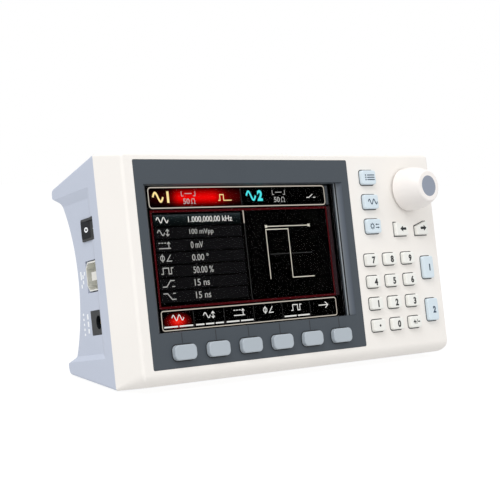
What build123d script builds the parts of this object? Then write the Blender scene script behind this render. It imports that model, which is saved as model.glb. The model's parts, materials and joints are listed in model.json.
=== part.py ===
from build123d import *
import math
import os

# A bench function generator. Lengths are in millimetres, angles in degrees.
#
# It is laid out in the panel frame: the origin is the centre of the display bezel on the
# front face, +X is right, +Y runs back into the housing and +Z is up. The finished model is
# then leaned back onto its sloping base, with the origin at the bottom centre of its box.

# Screen and display bezel, on the panel's left
active_width = 95.04        # lit area of a 4.3 inch display
active_height = 53.86
window_side = 3.3           # black border beside the lit area
window_edge = 0.15          # border above and below it
bevel_width = 2.2           # sloping sides of the screen recess
bevel_height = 0.25         # its steep top and bottom
bevel_depth = 2.2
bezel_side = 4.05           # flat bezel beside the recess
bezel_top = 9.0
bezel_bottom = 13.0
bezel_corner = 0.6
bezel_rim = 1.2             # extra thickness behind the bezel, round the window
bezel_rim_width = 3.0
bezel_lip = 1.2             # ledge that hooks behind the front frame
lens_thick = 0.8
lens_margin = 0.9           # lens beyond the window
tray_side = 4.9             # display tray beyond the lit area: sides, top, bottom
tray_top = 5.9
tray_bottom = 4.3
tray_wall = 0.4
tray_lip = 1.6              # front lip of the tray over the glass
display_thick = 3.5

# Front frame
panel_thick = 2.4
wall = 2.0
margin_left = 4.95          # frame outside the bezel
margin_top = 2.5
margin_bottom = 5.8
margin_right = 6.1          # frame outside the channel keys
frame_depth = 15.0
flare_side = 1.1            # how far the frame opens out by its rear edge
flare_top = 1.7
corner_top = 1.5            # corners of the front
corner_bottom = 5.5
corner_rear = 0.9           # corners of the shell, and of the frame where it meets it
front_round = 1.2
chin_round = 4.5            # lower front edge
seam = 0.1                  # gap between pieces that are fixed side by side

# Rear shell
shell_depth = 59.5          # front face to the tips of the horns
side_taper = 17.0
roof_slope = 8.7
base_slope = 9.6
back_depth = 43.0           # front face to the middle of the hollow back
back_edge = 52.4            # front face to where the hollow back meets the horns
horn_top_thick = 3.6        # upper horn: its tip, slope of its inner face and roundings
horn_top_rise = 2.8
horn_top_outer = 2.8
horn_top_inner = 0.7
horn_low_thick = 4.2        # lower horn
horn_low_rise = 2.0
horn_low_outer = 3.2
horn_low_inner = 0.8
hollow_round = 4.0
lip_length = 2.5            # tongue that reaches into the front frame
lip_thick = 1.2
lip_root = 2.4
lip_play = 0.3
recess_front = 22.0         # side recess: its front, depth and sloping borders
recess_depth = 1.1
recess_border_front = 4.3
recess_border_top = 3.8
recess_border_bottom = 2.0
recess_top_gap = 2.3        # from the horn's inner face down to the recess
recess_bottom_gap = 1.7

# Keys: play is round each key in its hole, and before its flange
key_play = 0.3
key_rise = 1.8
key_flange = 0.8
key_flange_thick = 0.8
key_travel = 0.8
key_round = 0.45
softkey_count = 6
softkey_width = 10.6
softkey_height = 5.6
softkey_corner = 1.9
softkey_pitch = 16.87
softkey_rise = 5.5          # bezel's lower edge to the keys' centre line
number_width = 7.0
number_height = 4.8
number_corner = 0.9
number_left = 4.45          # bezel to the first column
number_pitch_x = 11.55
number_pitch_z = 9.07
number_rise = 13.6          # frame's lower edge to the lowest row's centre line
function_width = 8.4
function_height = 5.9
function_corner = 1.0
function_left = 7.15        # bezel to the function keys
function_drop = 9.8         # frame's top edge to the first one's centre
function_pitch = 10.2
arrow_width = 7.3
arrow_height = 5.6
arrow_cut = 1.9             # height lost at the corner nearest the knob
arrow_flat = 1.4            # part of the top edge that stays level
arrow_corner = 0.5
arrow_drop = 16.6           # knob's centre to the arrow keys' centre line
arrow_aside = 6.65          # knob's centre to each arrow key's centre
channel_gap = 5.5           # number keys to channel keys
channel_width = 6.4
channel_height = 9.4
channel_corner = 1.0

# Knob and encoder
knob_radius = 9.0
knob_tip_radius = 6.4
knob_length = 12.3
knob_bulge = 1.0
knob_skirt = 1.0
knob_gap = 0.8              # panel to knob, more than the push
knob_round = 0.8
knob_side = 17.1            # frame's right edge to the knob's centre
knob_drop = 15.2            # frame's top edge to the knob's centre
cap_radius = 4.4
cap_thick = 0.8
shaft_radius = 3.0
shaft_flat = 1.0            # depth of the flat on the shaft
shaft_grip = 8.0            # length of shaft inside the knob
running_gap = 0.05
push_travel = 0.5
bushing_radius = 3.6
bushing_reach = 2.4
encoder_size = 11.6
encoder_floor = 0.4         # thickness behind the plunger's chamber
encoder_room = 0.5          # key mat to the encoder
plunger_radius = 3.6
plunger_thick = 0.8
end_gap = 0.3               # left behind anything that moves

# Key mat and boards
dome_radius = 2.0
dome_height = 1.2
mat_thick = 1.2
board_thick = 1.6
board_edge = 1.6            # boards back from the frame's inner walls
board_gap = 0.5             # display tray to the key board under it
board_aside = 2.2           # display tray to the key board beside it
strip_over = 4.0            # key board beyond the outermost softkeys
screw_radius = 1.0
screw_head_radius = 1.9
screw_head = 1.3
post_radius = 2.0
post_aside = 4.4            # function keys to the posts beside them
post_inset = 3.2            # board's right edge to the post beside the arrow keys
post_edge = 1.6             # board's lower edge to the posts along it
post_below = 3.0            # arrow keys' centre line down to the post beside them
post_above = 6.9            # arrow keys' centre line up to the post at the right edge
post_column = (0.3, 2.7)    # posts along the lower edge, in columns of number keys
chassis_gap = 0.7
chassis_thick = 1.0
chassis_corner = 2.0
fixing_radius = 1.25
fixing_length = 4.0
fixing_head_radius = 2.2
fixing_post_radius = 2.4
fixing_aside = 3.4          # frame's inner walls to the left and right fixings
fixing_inset = 3.0
fixing_down = 4.4           # frame's inner top and bottom to the right-hand fixings
fixing_up = 4.6
ledge_half = 2.7            # left-hand ledges of the chassis plate
ledge_length = 5.0
post_floor = 0.8             # blind end of each screw hole
spacer_length = 4.0
spacer_width = 5.5
spacer_shoulder = 2.2       # radius of the shoulder in the chassis plate
case_screw_radius = 1.5
case_head_radius = 2.8
case_head = 2.0
case_boss_radius = 3.9
case_play = 0.2
case_floor = 5.0            # hollow back to the seat of each case screw's head
case_x = (-34.0, 82.0)
case_z = (-20.0, 20.0)
main_left = -42.0
main_right = 95.0
main_height = 62.0

# Side ports
port_depth_y = 27.8         # front face to the ports' centre line, at the recess
port_rise = -1.0            # middle port above the bezel's centre
port_pitch = 17.4
port_back = (1.8, 1.4, 0.0)  # jack, data socket and switch: set back along the wall
port_gap = 0.15
wall_cut = 2.5 * wall        # how far each port's hole is cut through the wall
rocker_length = 13.8
rocker_height = 8.4
rocker_lip = 0.6            # rocker's bezel: reach over the wall
rocker_lip_thick = 0.45
rocker_depth = 9.5
blade_length = 4.5          # switch's two terminals
blade_width = 4.0
blade_thick = 0.8
blade_place = 3.0
paddle_half = 5.2           # middle of the paddle to each end
paddle_height = 6.4
paddle_angle = 10.0         # slope of each face of the paddle
paddle_swing = 20.0
paddle_valley = -0.35       # middle of the paddle from the wall's face
paddle_pivot = 2.6          # pivot behind the wall's face
paddle_depth = 3.2
paddle_taper = 0.9
usb_length = 12.0
usb_height = 11.0
usb_room = 0.35             # more room above and below the socket in its hole
usb_depth = 14.0
usb_chamfer = 2.2
usb_sheet = 0.5
usb_recess = 8.5
tongue_length = 5.6
tongue_height = 3.2
jack_length = 10.6
jack_height = 9.0
jack_depth = 13.0
jack_bore = 2.6
jack_offset = 2.1           # bore forward of the jack's centre
jack_recess = 9.5
jack_pin_radius = 1.0

# Outputs on the other side
socket_y = 30.0
socket_flange = 6.3
socket_flange_thick = 1.4
socket_radius = 4.83
socket_reach = 9.6
socket_bore = 4.1
socket_tail = 5.8
lug_radius = 1.0
lug_reach = 5.5
lug_back = 3.6
insulator_radius = 2.4
insulator_reach = 7.0
contact_radius = 1.1
contact_bore = 0.7
contact_reach = 6.4
contact_tail = 1.0
output_board_thick = 1.2
output_board_edge = 1.5
socket_nut_radius = 6.4
socket_nut_thick = 2.0

# Other parts inside
ribbon_width = 18.0
ribbon_thick = 0.3
ribbon_rise = 3.0           # tray's lower edge to the ribbon
ribbon_slot = 1.0           # room round the ribbon in the plates it passes
ribbon_bend = 4.0           # height of the slot over the ribbon
sink_size = (26.0, 22.0)
sink_place = (24.0, -6.0)
sink_base = 2.0
sink_height = 10.0
fin_count = 6
fin_thick = 1.2
foot_radius = 4.5
foot_thick = 1.5
foot_proud = 0.5
foot_inset = 26.0
foot_y = (20.5, 51.5)
vent_count = 8
vent_width = 1.8
vent_height = 20.0
vent_pitch = 4.4
vent_x = (12.0, 62.0)

# Worked out from the sizes above
window_x = active_width / 2 + window_side
window_z = active_height / 2 + window_edge
bezel_x = window_x + bevel_width + bezel_side
bezel_height = 2 * (window_z + bevel_height) + bezel_top + bezel_bottom
bezel_z = bezel_height / 2
screen_z = (bezel_bottom - bezel_top) / 2
window_bottom = screen_z - window_z
frame_left = -bezel_x - margin_left
frame_top = bezel_z + margin_top
frame_bottom = -bezel_z - margin_bottom
channel_left = bezel_x + number_left + 2 * number_pitch_x + number_width + channel_gap
frame_right = channel_left + channel_width + margin_right
middle_x = (frame_left + frame_right) / 2
shell_left = frame_left - flare_side
shell_right = frame_right + flare_side
shell_top = frame_top + flare_top
knob_x = frame_right - knob_side
knob_z = frame_top - knob_drop

flange_y = panel_thick + key_play
flange_back = flange_y + key_flange_thick
dome_y = flange_back + key_travel + end_gap
mat_y = dome_y + dome_height
key_board_y = mat_y + mat_thick
key_board_back = key_board_y + board_thick
encoder_floor_y = key_board_y - encoder_floor
chassis_y = key_board_back + screw_head + chassis_gap
chassis_back = chassis_y + chassis_thick
main_y = chassis_back + spacer_length
main_back = main_y + board_thick
lens_y = panel_thick + bezel_rim
tray_y = lens_y + lens_thick
glass_y = tray_y + tray_wall
tray_back = glass_y + display_thick + tray_wall
tray_x = active_width / 2 + tray_side
tray_low = screen_z - active_height / 2 - tray_bottom
tray_high = screen_z + active_height / 2 + tray_top
board_left = tray_x + board_aside
inner_left = frame_left + wall
inner_right = frame_right - wall
inner_top = frame_top - wall
inner_bottom = frame_bottom + wall
board_right = inner_right - board_edge
board_top = inner_top - board_edge
board_bottom = inner_bottom + board_edge
strip_top = tray_low - board_gap
strip_height = strip_top - board_bottom
chassis_inset = lip_thick + 2 * lip_play
strip_left = -(softkey_pitch * (softkey_count - 1) + softkey_width) / 2 - strip_over

cos_taper = math.cos(math.radians(side_taper))
sin_taper = math.sin(math.radians(side_taper))
tan_taper = sin_taper / cos_taper
FAR = 400.0


def roof_z(y):
    """Height of the shell's roof at a depth."""
    return shell_top - (y - frame_depth) * math.tan(math.radians(roof_slope))


def base_z(y):
    """Height of the shell's flat base at a depth."""
    return frame_bottom + (y - frame_depth) * math.tan(math.radians(base_slope))


horn_top_z = roof_z(shell_depth) - horn_top_thick
horn_low_z = base_z(shell_depth) + horn_low_thick
hollow_top = horn_top_z - horn_top_rise
hollow_bottom = horn_low_z + horn_low_rise
hollow_middle = (hollow_top + hollow_bottom) / 2
case_seat = back_depth - case_floor


# ---------------------------------------------------------------- building blocks


def box(x0, x1, y0, y1, z0, z1):
    """Box between two corners."""
    middle = Pos((x0 + x1) / 2, (y0 + y1) / 2, (z0 + z1) / 2)
    return middle * Box(x1 - x0, y1 - y0, z1 - z0)


def along_y(x, z, radius, y0, y1):
    """Cylinder that runs from front to back."""
    rod = Cylinder(radius, y1 - y0, align=(Align.CENTER, Align.CENTER, Align.MIN))
    return Pos(x, y0, z) * Rot(-90, 0, 0) * rod


def facing_front(y):
    """Drawing plane at a depth: its x is right, its y is up and it faces the user."""
    return Plane(origin=(0, y, 0), x_dir=(1, 0, 0), z_dir=(0, -1, 0))


def slab(outline, y0, y1):
    """Plate of a given outline between two depths."""
    return extrude(facing_front(y1) * outline, y1 - y0)


def rounded(x, z, width, height, corner):
    """Rounded rectangle on the panel."""
    return Pos(x, z) * RectangleRounded(width, height, corner)


def crossing(plan, profile):
    """Solid with a given plan, drawn in XY, and a given side view, drawn in YZ."""
    upright = extrude(Plane.XY * plan, FAR, both=True)
    across = extrude(Plane.YZ * profile, FAR, both=True)
    return upright & across


def polygon(*points):
    """Flat face with straight sides."""
    return make_face(Polyline(*points, close=True))


def tapered_box(front, back):
    """Solid between two upright rectangles, each given as y, left, right, bottom, top."""
    y0, left0, right0, bottom0, top0 = front
    y1, left1, right1, bottom1, top1 = back
    plan = polygon((left0, y0), (right0, y0), (right1, y1), (left1, y1))
    profile = polygon((y0, bottom0), (y1, bottom1), (y1, top1), (y0, top0))
    return crossing(plan, profile)


def lengthways(shape, upper):
    """The shape's upper or lower corner edges that run from front to back."""
    def runs_back(edge):
        span = edge.position_at(1) - edge.position_at(0)
        return abs(span.Y) > 0.8 * edge.length and edge.length > 2.0
    edges = shape.edges().filter_by(runs_back)
    return edges.filter_by(lambda edge: (edge.center().Z > 0) == upper)


def wall_plane(side, y, z, depth):
    """Plane on a side wall: x runs forward on the left and back on the right, y is up."""
    if side == "left":
        edge = shell_left
        out = Vector(-cos_taper, sin_taper, 0)
        along = Vector(-sin_taper, -cos_taper, 0)
        inward = 1
    else:
        edge = shell_right
        out = Vector(cos_taper, sin_taper, 0)
        along = Vector(-sin_taper, cos_taper, 0)
        inward = -1
    start = Vector(edge + inward * (y - frame_depth) * tan_taper, y, z) - out * depth
    return Plane(origin=start, x_dir=along, z_dir=out)


def left_port(row):
    """Plane at the mouth of a port: row 1 is the switch, 0 the data socket, -1 the jack."""
    y = port_depth_y + port_back[row + 1] * cos_taper
    return wall_plane("left", y, port_rise + row * port_pitch, recess_depth)


def right_port(row):
    """Plane at the mouth of an output socket."""
    return wall_plane("right", socket_y, port_rise + row * port_pitch, recess_depth)


def block(plane, length, height, low, high, corner=0.0):
    """Block on a wall plane, between two heights along the plane's normal."""
    outline = RectangleRounded(length, height, corner) if corner else Rectangle(length, height)
    return extrude(plane.offset(low) * outline, high - low)


def rod(plane, x, y, radius, low, high):
    """Rod square to a wall plane."""
    return extrude(plane.offset(low) * Pos(x, y) * Circle(radius), high - low)


# ---------------------------------------------------------------- keys


def arrow_outline(x, z, cut_side):
    """Arrow key with its upper corner sloping on one side: 1 is right, -1 is left."""
    half = arrow_width / 2
    top = arrow_height / 2
    level = cut_side * (arrow_flat - half)
    outline = polygon(
        (x - cut_side * half, z - top),
        (x + cut_side * half, z - top),
        (x + cut_side * half, z + top - arrow_cut),
        (x + level, z + top),
        (x - cut_side * half, z + top),
    )
    return fillet(outline.vertices(), arrow_corner)


def softkey_outlines():
    """Outlines of the keys under the screen, by name."""
    outlines = {}
    z = -bezel_z + softkey_rise
    for index in range(softkey_count):
        x = (index - (softkey_count - 1) / 2) * softkey_pitch
        shape = rounded(x, z, softkey_width, softkey_height, softkey_corner)
        outlines["softkey_%d" % (index + 1)] = shape
    return outlines


def number_place(column, row):
    """Centre of a number key; rows count up from the lowest."""
    x = bezel_x + number_left + number_width / 2 + column * number_pitch_x
    return x, frame_bottom + number_rise + row * number_pitch_z


NUMBER_ROWS = (
    ("key_point", "key_0", "key_sign"),
    ("key_1", "key_2", "key_3"),
    ("key_4", "key_5", "key_6"),
    ("key_7", "key_8", "key_9"),
)


def keypad_outlines():
    """Outlines of every key on the right of the panel, by name."""
    outlines = {}
    for row, names in enumerate(NUMBER_ROWS):
        for column, name in enumerate(names):
            x, z = number_place(column, row)
            outlines[name] = rounded(x, z, number_width, number_height, number_corner)
    for index, name in enumerate(("mode_key", "wave_key", "utility_key")):
        x = bezel_x + function_left + function_width / 2
        z = frame_top - function_drop - index * function_pitch
        outlines[name] = rounded(x, z, function_width, function_height, function_corner)
    arrow_z = knob_z - arrow_drop
    outlines["arrow_left_key"] = arrow_outline(knob_x - arrow_aside, arrow_z, 1)
    outlines["arrow_right_key"] = arrow_outline(knob_x + arrow_aside, arrow_z, -1)
    for name, low_row in (("channel_1_key", 2), ("channel_2_key", 0)):
        x = channel_left + channel_width / 2
        z = number_place(0, low_row + 0.5)[1]
        outlines[name] = rounded(x, z, channel_width, channel_height, channel_corner)
    return outlines


SOFTKEYS = softkey_outlines()
KEYPAD = keypad_outlines()


def key(outline):
    """Key cap with the flange that keeps it behind the panel."""
    cap = slab(outline, -key_rise, flange_y)
    cap = fillet(cap.faces().sort_by(Axis.Y)[0].edges(), key_round)
    return cap + slab(offset(outline, key_flange), flange_y, flange_back)


def key_holes(outlines):
    """Holes that the keys pass through."""
    through = panel_thick + 1.0
    holes = [slab(offset(shape, key_play), -1.0, through) for shape in outlines.values()]
    return Part() + holes


# ---------------------------------------------------------------- screw places


def panel_posts():
    """Places of the posts that hold the key board to the white panel."""
    between = bezel_x + function_left + function_width + post_aside
    return (
        (between, frame_top - function_drop),
        (between, knob_z - arrow_drop - post_below),
        (board_right - post_inset, knob_z - arrow_drop + post_above),
        (number_place(post_column[0], 0)[0], board_bottom + post_edge),
        (number_place(post_column[1], 0)[0], board_bottom + post_edge),
    )


def bezel_posts():
    """Places of the posts that hold the key board to the bezel, between softkeys."""
    z = -bezel_z + softkey_rise
    return ((-2 * softkey_pitch, z), (2 * softkey_pitch, z))


def chassis_fixings():
    """Places of the screws that hold the chassis plate to the front frame."""
    left = inner_left + fixing_aside
    right = inner_right - fixing_inset
    return (
        (left, tray_high - ledge_half),
        (left, strip_top),
        (right, inner_top - fixing_down),
        (right, inner_bottom + fixing_up),
    )


CASE_PLACES = [(x, z) for x in case_x for z in case_z]


# ---------------------------------------------------------------- front


def frame_section(y, inset):
    """Rectangle of the frame at a depth, as y, left, right, bottom, top."""
    share = y / frame_depth
    return (
        y,
        frame_left - flare_side * share + inset,
        frame_right + flare_side * share - inset,
        frame_bottom + inset,
        frame_top + flare_top * share - inset,
    )


def frame_outline(y, upper, lower):
    """Outline of the frame at a depth, with its upper and lower corners rounded."""
    _, left, right, bottom, top = frame_section(y, 0.0)
    outline = polygon((left, bottom), (right, bottom), (right, top), (left, top))
    outline = fillet(outline.vertices().group_by(Axis.Y)[0], lower)
    outline = fillet(outline.vertices().group_by(Axis.Y)[-1], upper)
    return (facing_front(y) * outline).face()


def frame_outer():
    """Outside of the frame, whose corners grow sharper towards the back."""
    front = frame_outline(0.0, corner_top, corner_bottom)
    rear = frame_outline(frame_depth, corner_rear, corner_rear)
    return loft([front, rear], ruled=True)


def frame_form(inset, y0, y1):
    """Slice of the frame's inside, moved in by an inset, with rounded corners."""
    form = tapered_box(frame_section(y0, inset), frame_section(y1, inset))
    form = fillet(lengthways(form, True), max(corner_top - inset, 0.4))
    return fillet(lengthways(form, False), max(corner_bottom - inset, 0.8))


def front_frame():
    """White front: keypad panel, rim and the posts behind it."""
    body = frame_outer()
    body = fillet(body.faces().sort_by(Axis.Y)[0].edges(), front_round)
    side = polygon(
        (0, frame_bottom), (frame_depth, frame_bottom),
        (frame_depth, FAR), (0, FAR),
    )
    side = fillet(side.vertices().sort_by_distance((0, frame_bottom))[0], chin_round)
    body = body & extrude(Plane.YZ * side, FAR, both=True)
    body -= frame_form(wall, panel_thick, frame_depth)
    window = rounded(0, 0, 2 * (bezel_x + seam), bezel_height + 2 * seam, bezel_corner + seam)
    body -= slab(window, -1.0, panel_thick)
    posts = []
    for x, z in panel_posts():
        posts.append(along_y(x, z, post_radius, panel_thick, key_board_y))
    for x, z in chassis_fixings():
        if x > 0:
            posts.append(along_y(x, z, fixing_post_radius, panel_thick, chassis_y))
        else:
            posts.append(box(
                frame_left + wall / 4, x + ledge_half,
                chassis_y - ledge_length, chassis_y, z - ledge_half, z + ledge_half,
            ))
    body += posts
    body -= key_holes(KEYPAD)
    body -= along_y(knob_x, knob_z, bushing_radius + key_play, -1.0, panel_thick + 1.0)
    for x, z in panel_posts():
        body -= along_y(x, z, screw_radius, panel_thick + post_floor, key_board_y)
    for x, z in chassis_fixings():
        body -= along_y(x, z, fixing_radius, chassis_y - fixing_length, chassis_y)
    return body


def display_bezel():
    """Dark plate round the screen, with a bevelled recess and the softkeys' holes."""
    outline = rounded(0, 0, 2 * bezel_x, bezel_height, bezel_corner)
    body = slab(outline, 0.0, panel_thick)
    lip = 2 * (bezel_x + bezel_lip)
    low = -bezel_z - bezel_lip
    body += box(-lip / 2, lip / 2, panel_thick, panel_thick + bezel_rim, low, -bezel_z + 1.0)
    for side in (-1, 1):
        inner = side * (bezel_x - 1.5)
        outer = side * lip / 2
        x0, x1 = min(inner, outer), max(inner, outer)
        body += box(x0, x1, panel_thick, panel_thick + bezel_rim, low, bezel_z - 1.0)
    rim_x = window_x + bezel_rim_width
    rim_low = window_bottom - bezel_rim_width
    rim_high = screen_z + window_z + bezel_rim_width
    body += box(-rim_x, rim_x, panel_thick, lens_y, rim_low, rim_high)
    top_x = window_x + bevel_width
    top_z = window_z + bevel_height
    body -= tapered_box(
        (0.0, -top_x, top_x, screen_z - top_z, screen_z + top_z),
        (bevel_depth, -window_x, window_x, window_bottom, screen_z + window_z),
    )
    body -= box(-window_x, window_x, 0.0, lens_y + 1.0, window_bottom, screen_z + window_z)
    body -= key_holes(SOFTKEYS)
    posts = [along_y(x, z, post_radius, panel_thick, key_board_y) for x, z in bezel_posts()]
    body += posts
    for x, z in bezel_posts():
        body -= along_y(x, z, screw_radius, panel_thick + post_floor, key_board_y)
    return body


def lens_box(margin, y0, y1):
    """Box behind the window, larger than it by a margin."""
    x = window_x + margin
    return box(-x, x, y0, y1, window_bottom - margin, screen_z + window_z + margin)


def screen_lens():
    """Clear cover behind the bezel's window."""
    return lens_box(lens_margin, lens_y, tray_y)


def screen_gasket():
    """Foam ring round the lens, between bezel and display tray."""
    ring = box(-tray_x, tray_x, lens_y, tray_y, tray_low, tray_high)
    return ring - lens_box(lens_margin, lens_y, tray_y)


def tray_inner(y0, y1):
    """Space inside the display tray's walls between two depths."""
    return box(
        -tray_x + tray_wall, tray_x - tray_wall, y0, y1,
        tray_low + tray_wall, tray_high - tray_wall,
    )


def lcd_tray():
    """Thin steel tray that holds the glass and the backlight."""
    body = box(-tray_x, tray_x, tray_y, tray_back, tray_low, tray_high)
    body -= tray_inner(glass_y, tray_back - tray_wall)
    opening = tray_x - tray_lip
    body -= box(
        -opening, opening, tray_y, glass_y, tray_low + tray_lip, tray_high - tray_lip,
    )
    return body - ribbon_opening(tray_back - tray_wall, tray_back)


def ribbon_opening(y0, y1):
    """Slot that the display's flat cable passes through."""
    half = ribbon_width / 2 + ribbon_slot
    low = tray_low + ribbon_rise - ribbon_slot
    return box(-half, half, y0, y1, low, low + ribbon_slot + ribbon_bend)


def lcd_panel():
    """Display glass with its light guide behind it."""
    return tray_inner(glass_y, tray_back - tray_wall)


# ---------------------------------------------------------------- knob


def knob_form(profile):
    """Solid turned about the knob's axis from a profile of radius and height."""
    turned = revolve(Plane.XZ * profile, Axis.Z)
    return Pos(knob_x, -knob_gap, knob_z) * Rot(90, 0, 0) * turned


def shaft_form(y0, y1):
    """D-shaped shaft between two depths."""
    flat = knob_z + shaft_radius - shaft_flat
    half = 2 * shaft_radius
    body = along_y(knob_x, knob_z, shaft_radius, y0, y1)
    return body - box(knob_x - half, knob_x + half, y0, min(y1, -knob_gap), flat, flat + half)


def knob():
    """Bell-shaped knob with a seat for its cap and a D-shaped bore."""
    middle = (knob_radius + knob_tip_radius) / 2 + knob_bulge
    half_way = (knob_skirt + knob_length) / 2
    side = ThreePointArc(
        (knob_radius, knob_skirt), (middle, half_way), (knob_tip_radius, knob_length)
    )
    outline = make_face([
        Line((0, 0), (knob_radius, 0)),
        Line((knob_radius, 0), (knob_radius, knob_skirt)),
        side,
        Line((knob_tip_radius, knob_length), (0, knob_length)),
        Line((0, knob_length), (0, 0)),
    ])
    body = knob_form(outline)
    front = body.faces().sort_by(Axis.Y)[0]
    body = fillet(front.edges(), knob_round)
    tip = -knob_gap - knob_length
    body -= along_y(knob_x, knob_z, cap_radius, tip, tip + cap_thick)
    hollow = bushing_radius + 2 * end_gap
    body -= along_y(knob_x, knob_z, hollow, -knob_gap - bushing_reach, 0)
    return body - shaft_form(-knob_gap - shaft_grip, 0)


def knob_cap():
    """Flat disc set in the end of the knob."""
    tip = -knob_gap - knob_length
    return along_y(knob_x, knob_z, cap_radius, tip, tip + cap_thick)


def encoder_shaft():
    """Shaft that the knob turns and pushes."""
    return shaft_form(-knob_gap - shaft_grip, plunger_y() - running_gap)


def plunger_y():
    """Depth of the plunger's front face at rest."""
    return encoder_floor_y - push_travel - end_gap - plunger_thick


def encoder_plunger():
    """Disc that the shaft pushes back onto the switch inside the encoder."""
    return along_y(knob_x, knob_z, plunger_radius, plunger_y(), plunger_y() + plunger_thick)


def encoder_body():
    """Encoder housing on the key board, with its bushing through the panel."""
    half = encoder_size / 2
    low, high = knob_z - half, knob_z + half
    body = box(knob_x - half, knob_x + half, flange_y, key_board_y, low, high)
    body += along_y(knob_x, knob_z, bushing_radius, end_gap + push_travel - bushing_reach, flange_y)
    bore = shaft_radius + running_gap
    body -= along_y(knob_x, knob_z, bore, -bushing_reach, encoder_floor_y)
    chamber = plunger_radius + end_gap
    return body - along_y(knob_x, knob_z, chamber, plunger_y() - end_gap, encoder_floor_y)


# ---------------------------------------------------------------- boards behind the panel


def board_outline():
    """Outline of the key board and mat: the keypad area and the strip under the screen."""
    width = board_right - board_left
    height = board_top - board_bottom
    right = Pos(board_left + width / 2, board_bottom + height / 2) * Rectangle(width, height)
    strip_width = board_left - strip_left + 1.0
    strip = Rectangle(strip_width, strip_height)
    return right + Pos(strip_left + strip_width / 2, board_bottom + strip_height / 2) * strip


def clearance_holes(radius, y0, y1):
    """Holes that clear the posts in front of the key board."""
    places = panel_posts() + bezel_posts()
    holes = [along_y(x, z, radius, y0, y1) for x, z in places]
    return Part() + holes


def fixing_notches(y0, y1):
    """Corners cut away round the right-hand chassis posts."""
    cuts = []
    reach = fixing_post_radius + board_gap
    for x, z in chassis_fixings():
        if x > 0 and z > 0:
            cuts.append(box(x - reach, FAR, y0, y1, z - reach, FAR))
        elif x > 0:
            cuts.append(box(x - reach, FAR, y0, y1, -FAR, z + reach))
    return Part() + cuts


def key_mat():
    """Silicone mat with a dome behind every key."""
    body = slab(board_outline(), mat_y, key_board_y)
    for outline in list(SOFTKEYS.values()) + list(KEYPAD.values()):
        middle = outline.center()
        dome = Cone(dome_radius, dome_radius * 0.6, dome_height)
        place = Pos(middle.X, (dome_y + mat_y) / 2, middle.Y)
        body += place * Rot(90, 0, 0) * dome
    body -= clearance_holes(post_radius + key_play, dome_y, key_board_y)
    body -= fixing_notches(dome_y, key_board_y)
    half = encoder_size / 2 + encoder_room
    low, high = knob_z - half, knob_z + half
    return body - box(knob_x - half, knob_x + half, dome_y, key_board_y, low, high)


def key_board():
    """Circuit board under the key mat."""
    body = slab(board_outline(), key_board_y, key_board_back)
    body -= clearance_holes(screw_radius, key_board_y, key_board_back)
    return body - fixing_notches(key_board_y, key_board_back)


def short_screw(x, z, radius, tip, seat, head_radius):
    """Pan-headed screw from its tip to the seat under its head."""
    shank = along_y(x, z, radius, tip, seat)
    return shank + along_y(x, z, head_radius, seat, seat + screw_head)


def inner_screws():
    """Screws of the key board, and those of the chassis plate."""
    screws = []
    for x, z in panel_posts() + bezel_posts():
        tip = panel_thick + post_floor
        screws.append(short_screw(x, z, screw_radius, tip, key_board_back, screw_head_radius))
    for x, z in chassis_fixings():
        tip = chassis_y - fixing_length
        screws.append(short_screw(x, z, fixing_radius, tip, chassis_back, fixing_head_radius))
    return Compound(screws)


def chassis_plate():
    """Steel plate across the housing that carries the main board."""
    outline = Pos((inner_left + inner_right) / 2, (inner_top + inner_bottom) / 2)
    width = inner_right - inner_left - 2 * chassis_inset
    height = inner_top - inner_bottom - 2 * chassis_inset
    body = slab(outline * RectangleRounded(width, height, chassis_corner), chassis_y, chassis_back)
    for x, z in CASE_PLACES:
        body -= along_y(x, z, spacer_shoulder, chassis_y, chassis_back)
    for x, z in chassis_fixings():
        body -= along_y(x, z, fixing_radius, chassis_y, chassis_back)
    return body - ribbon_opening(chassis_y, chassis_back)


def spacers():
    """Hexagonal threaded spacers between the chassis plate and the main board."""
    pieces = []
    radius = spacer_width / math.sqrt(3)
    for x, z in CASE_PLACES:
        hexagon = Pos(x, z) * RegularPolygon(radius, 6)
        piece = slab(hexagon, chassis_back, main_y)
        piece += along_y(x, z, spacer_shoulder, chassis_y, chassis_back)
        pieces.append(piece - along_y(x, z, case_screw_radius, chassis_y, main_y))
    return Compound(pieces)


def main_board():
    """Main circuit board."""
    middle = (case_z[0] + case_z[1]) / 2
    low = middle - main_height / 2
    body = box(main_left, main_right, main_y, main_back, low, low + main_height)
    for x, z in CASE_PLACES:
        body -= along_y(x, z, case_screw_radius + case_play, main_y, main_back)
    return body


def ribbon_cable():
    """Flat cable from the display, through the chassis plate, to the main board."""
    half = ribbon_width / 2
    z = tray_low + ribbon_rise
    start = tray_back - tray_wall
    return box(-half, half, start, main_y, z, z + ribbon_thick)


# ---------------------------------------------------------------- rear shell


def shell_plan(inset):
    """Plan of the shell, its tapering sides moved in by an inset."""
    shift = inset / cos_taper
    end = shell_depth + 1.0
    narrow = (end - frame_depth) * tan_taper
    return polygon(
        (shell_left + shift, frame_depth),
        (shell_right - shift, frame_depth),
        (shell_right - shift - narrow, end),
        (shell_left + shift + narrow, end),
    )


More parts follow.
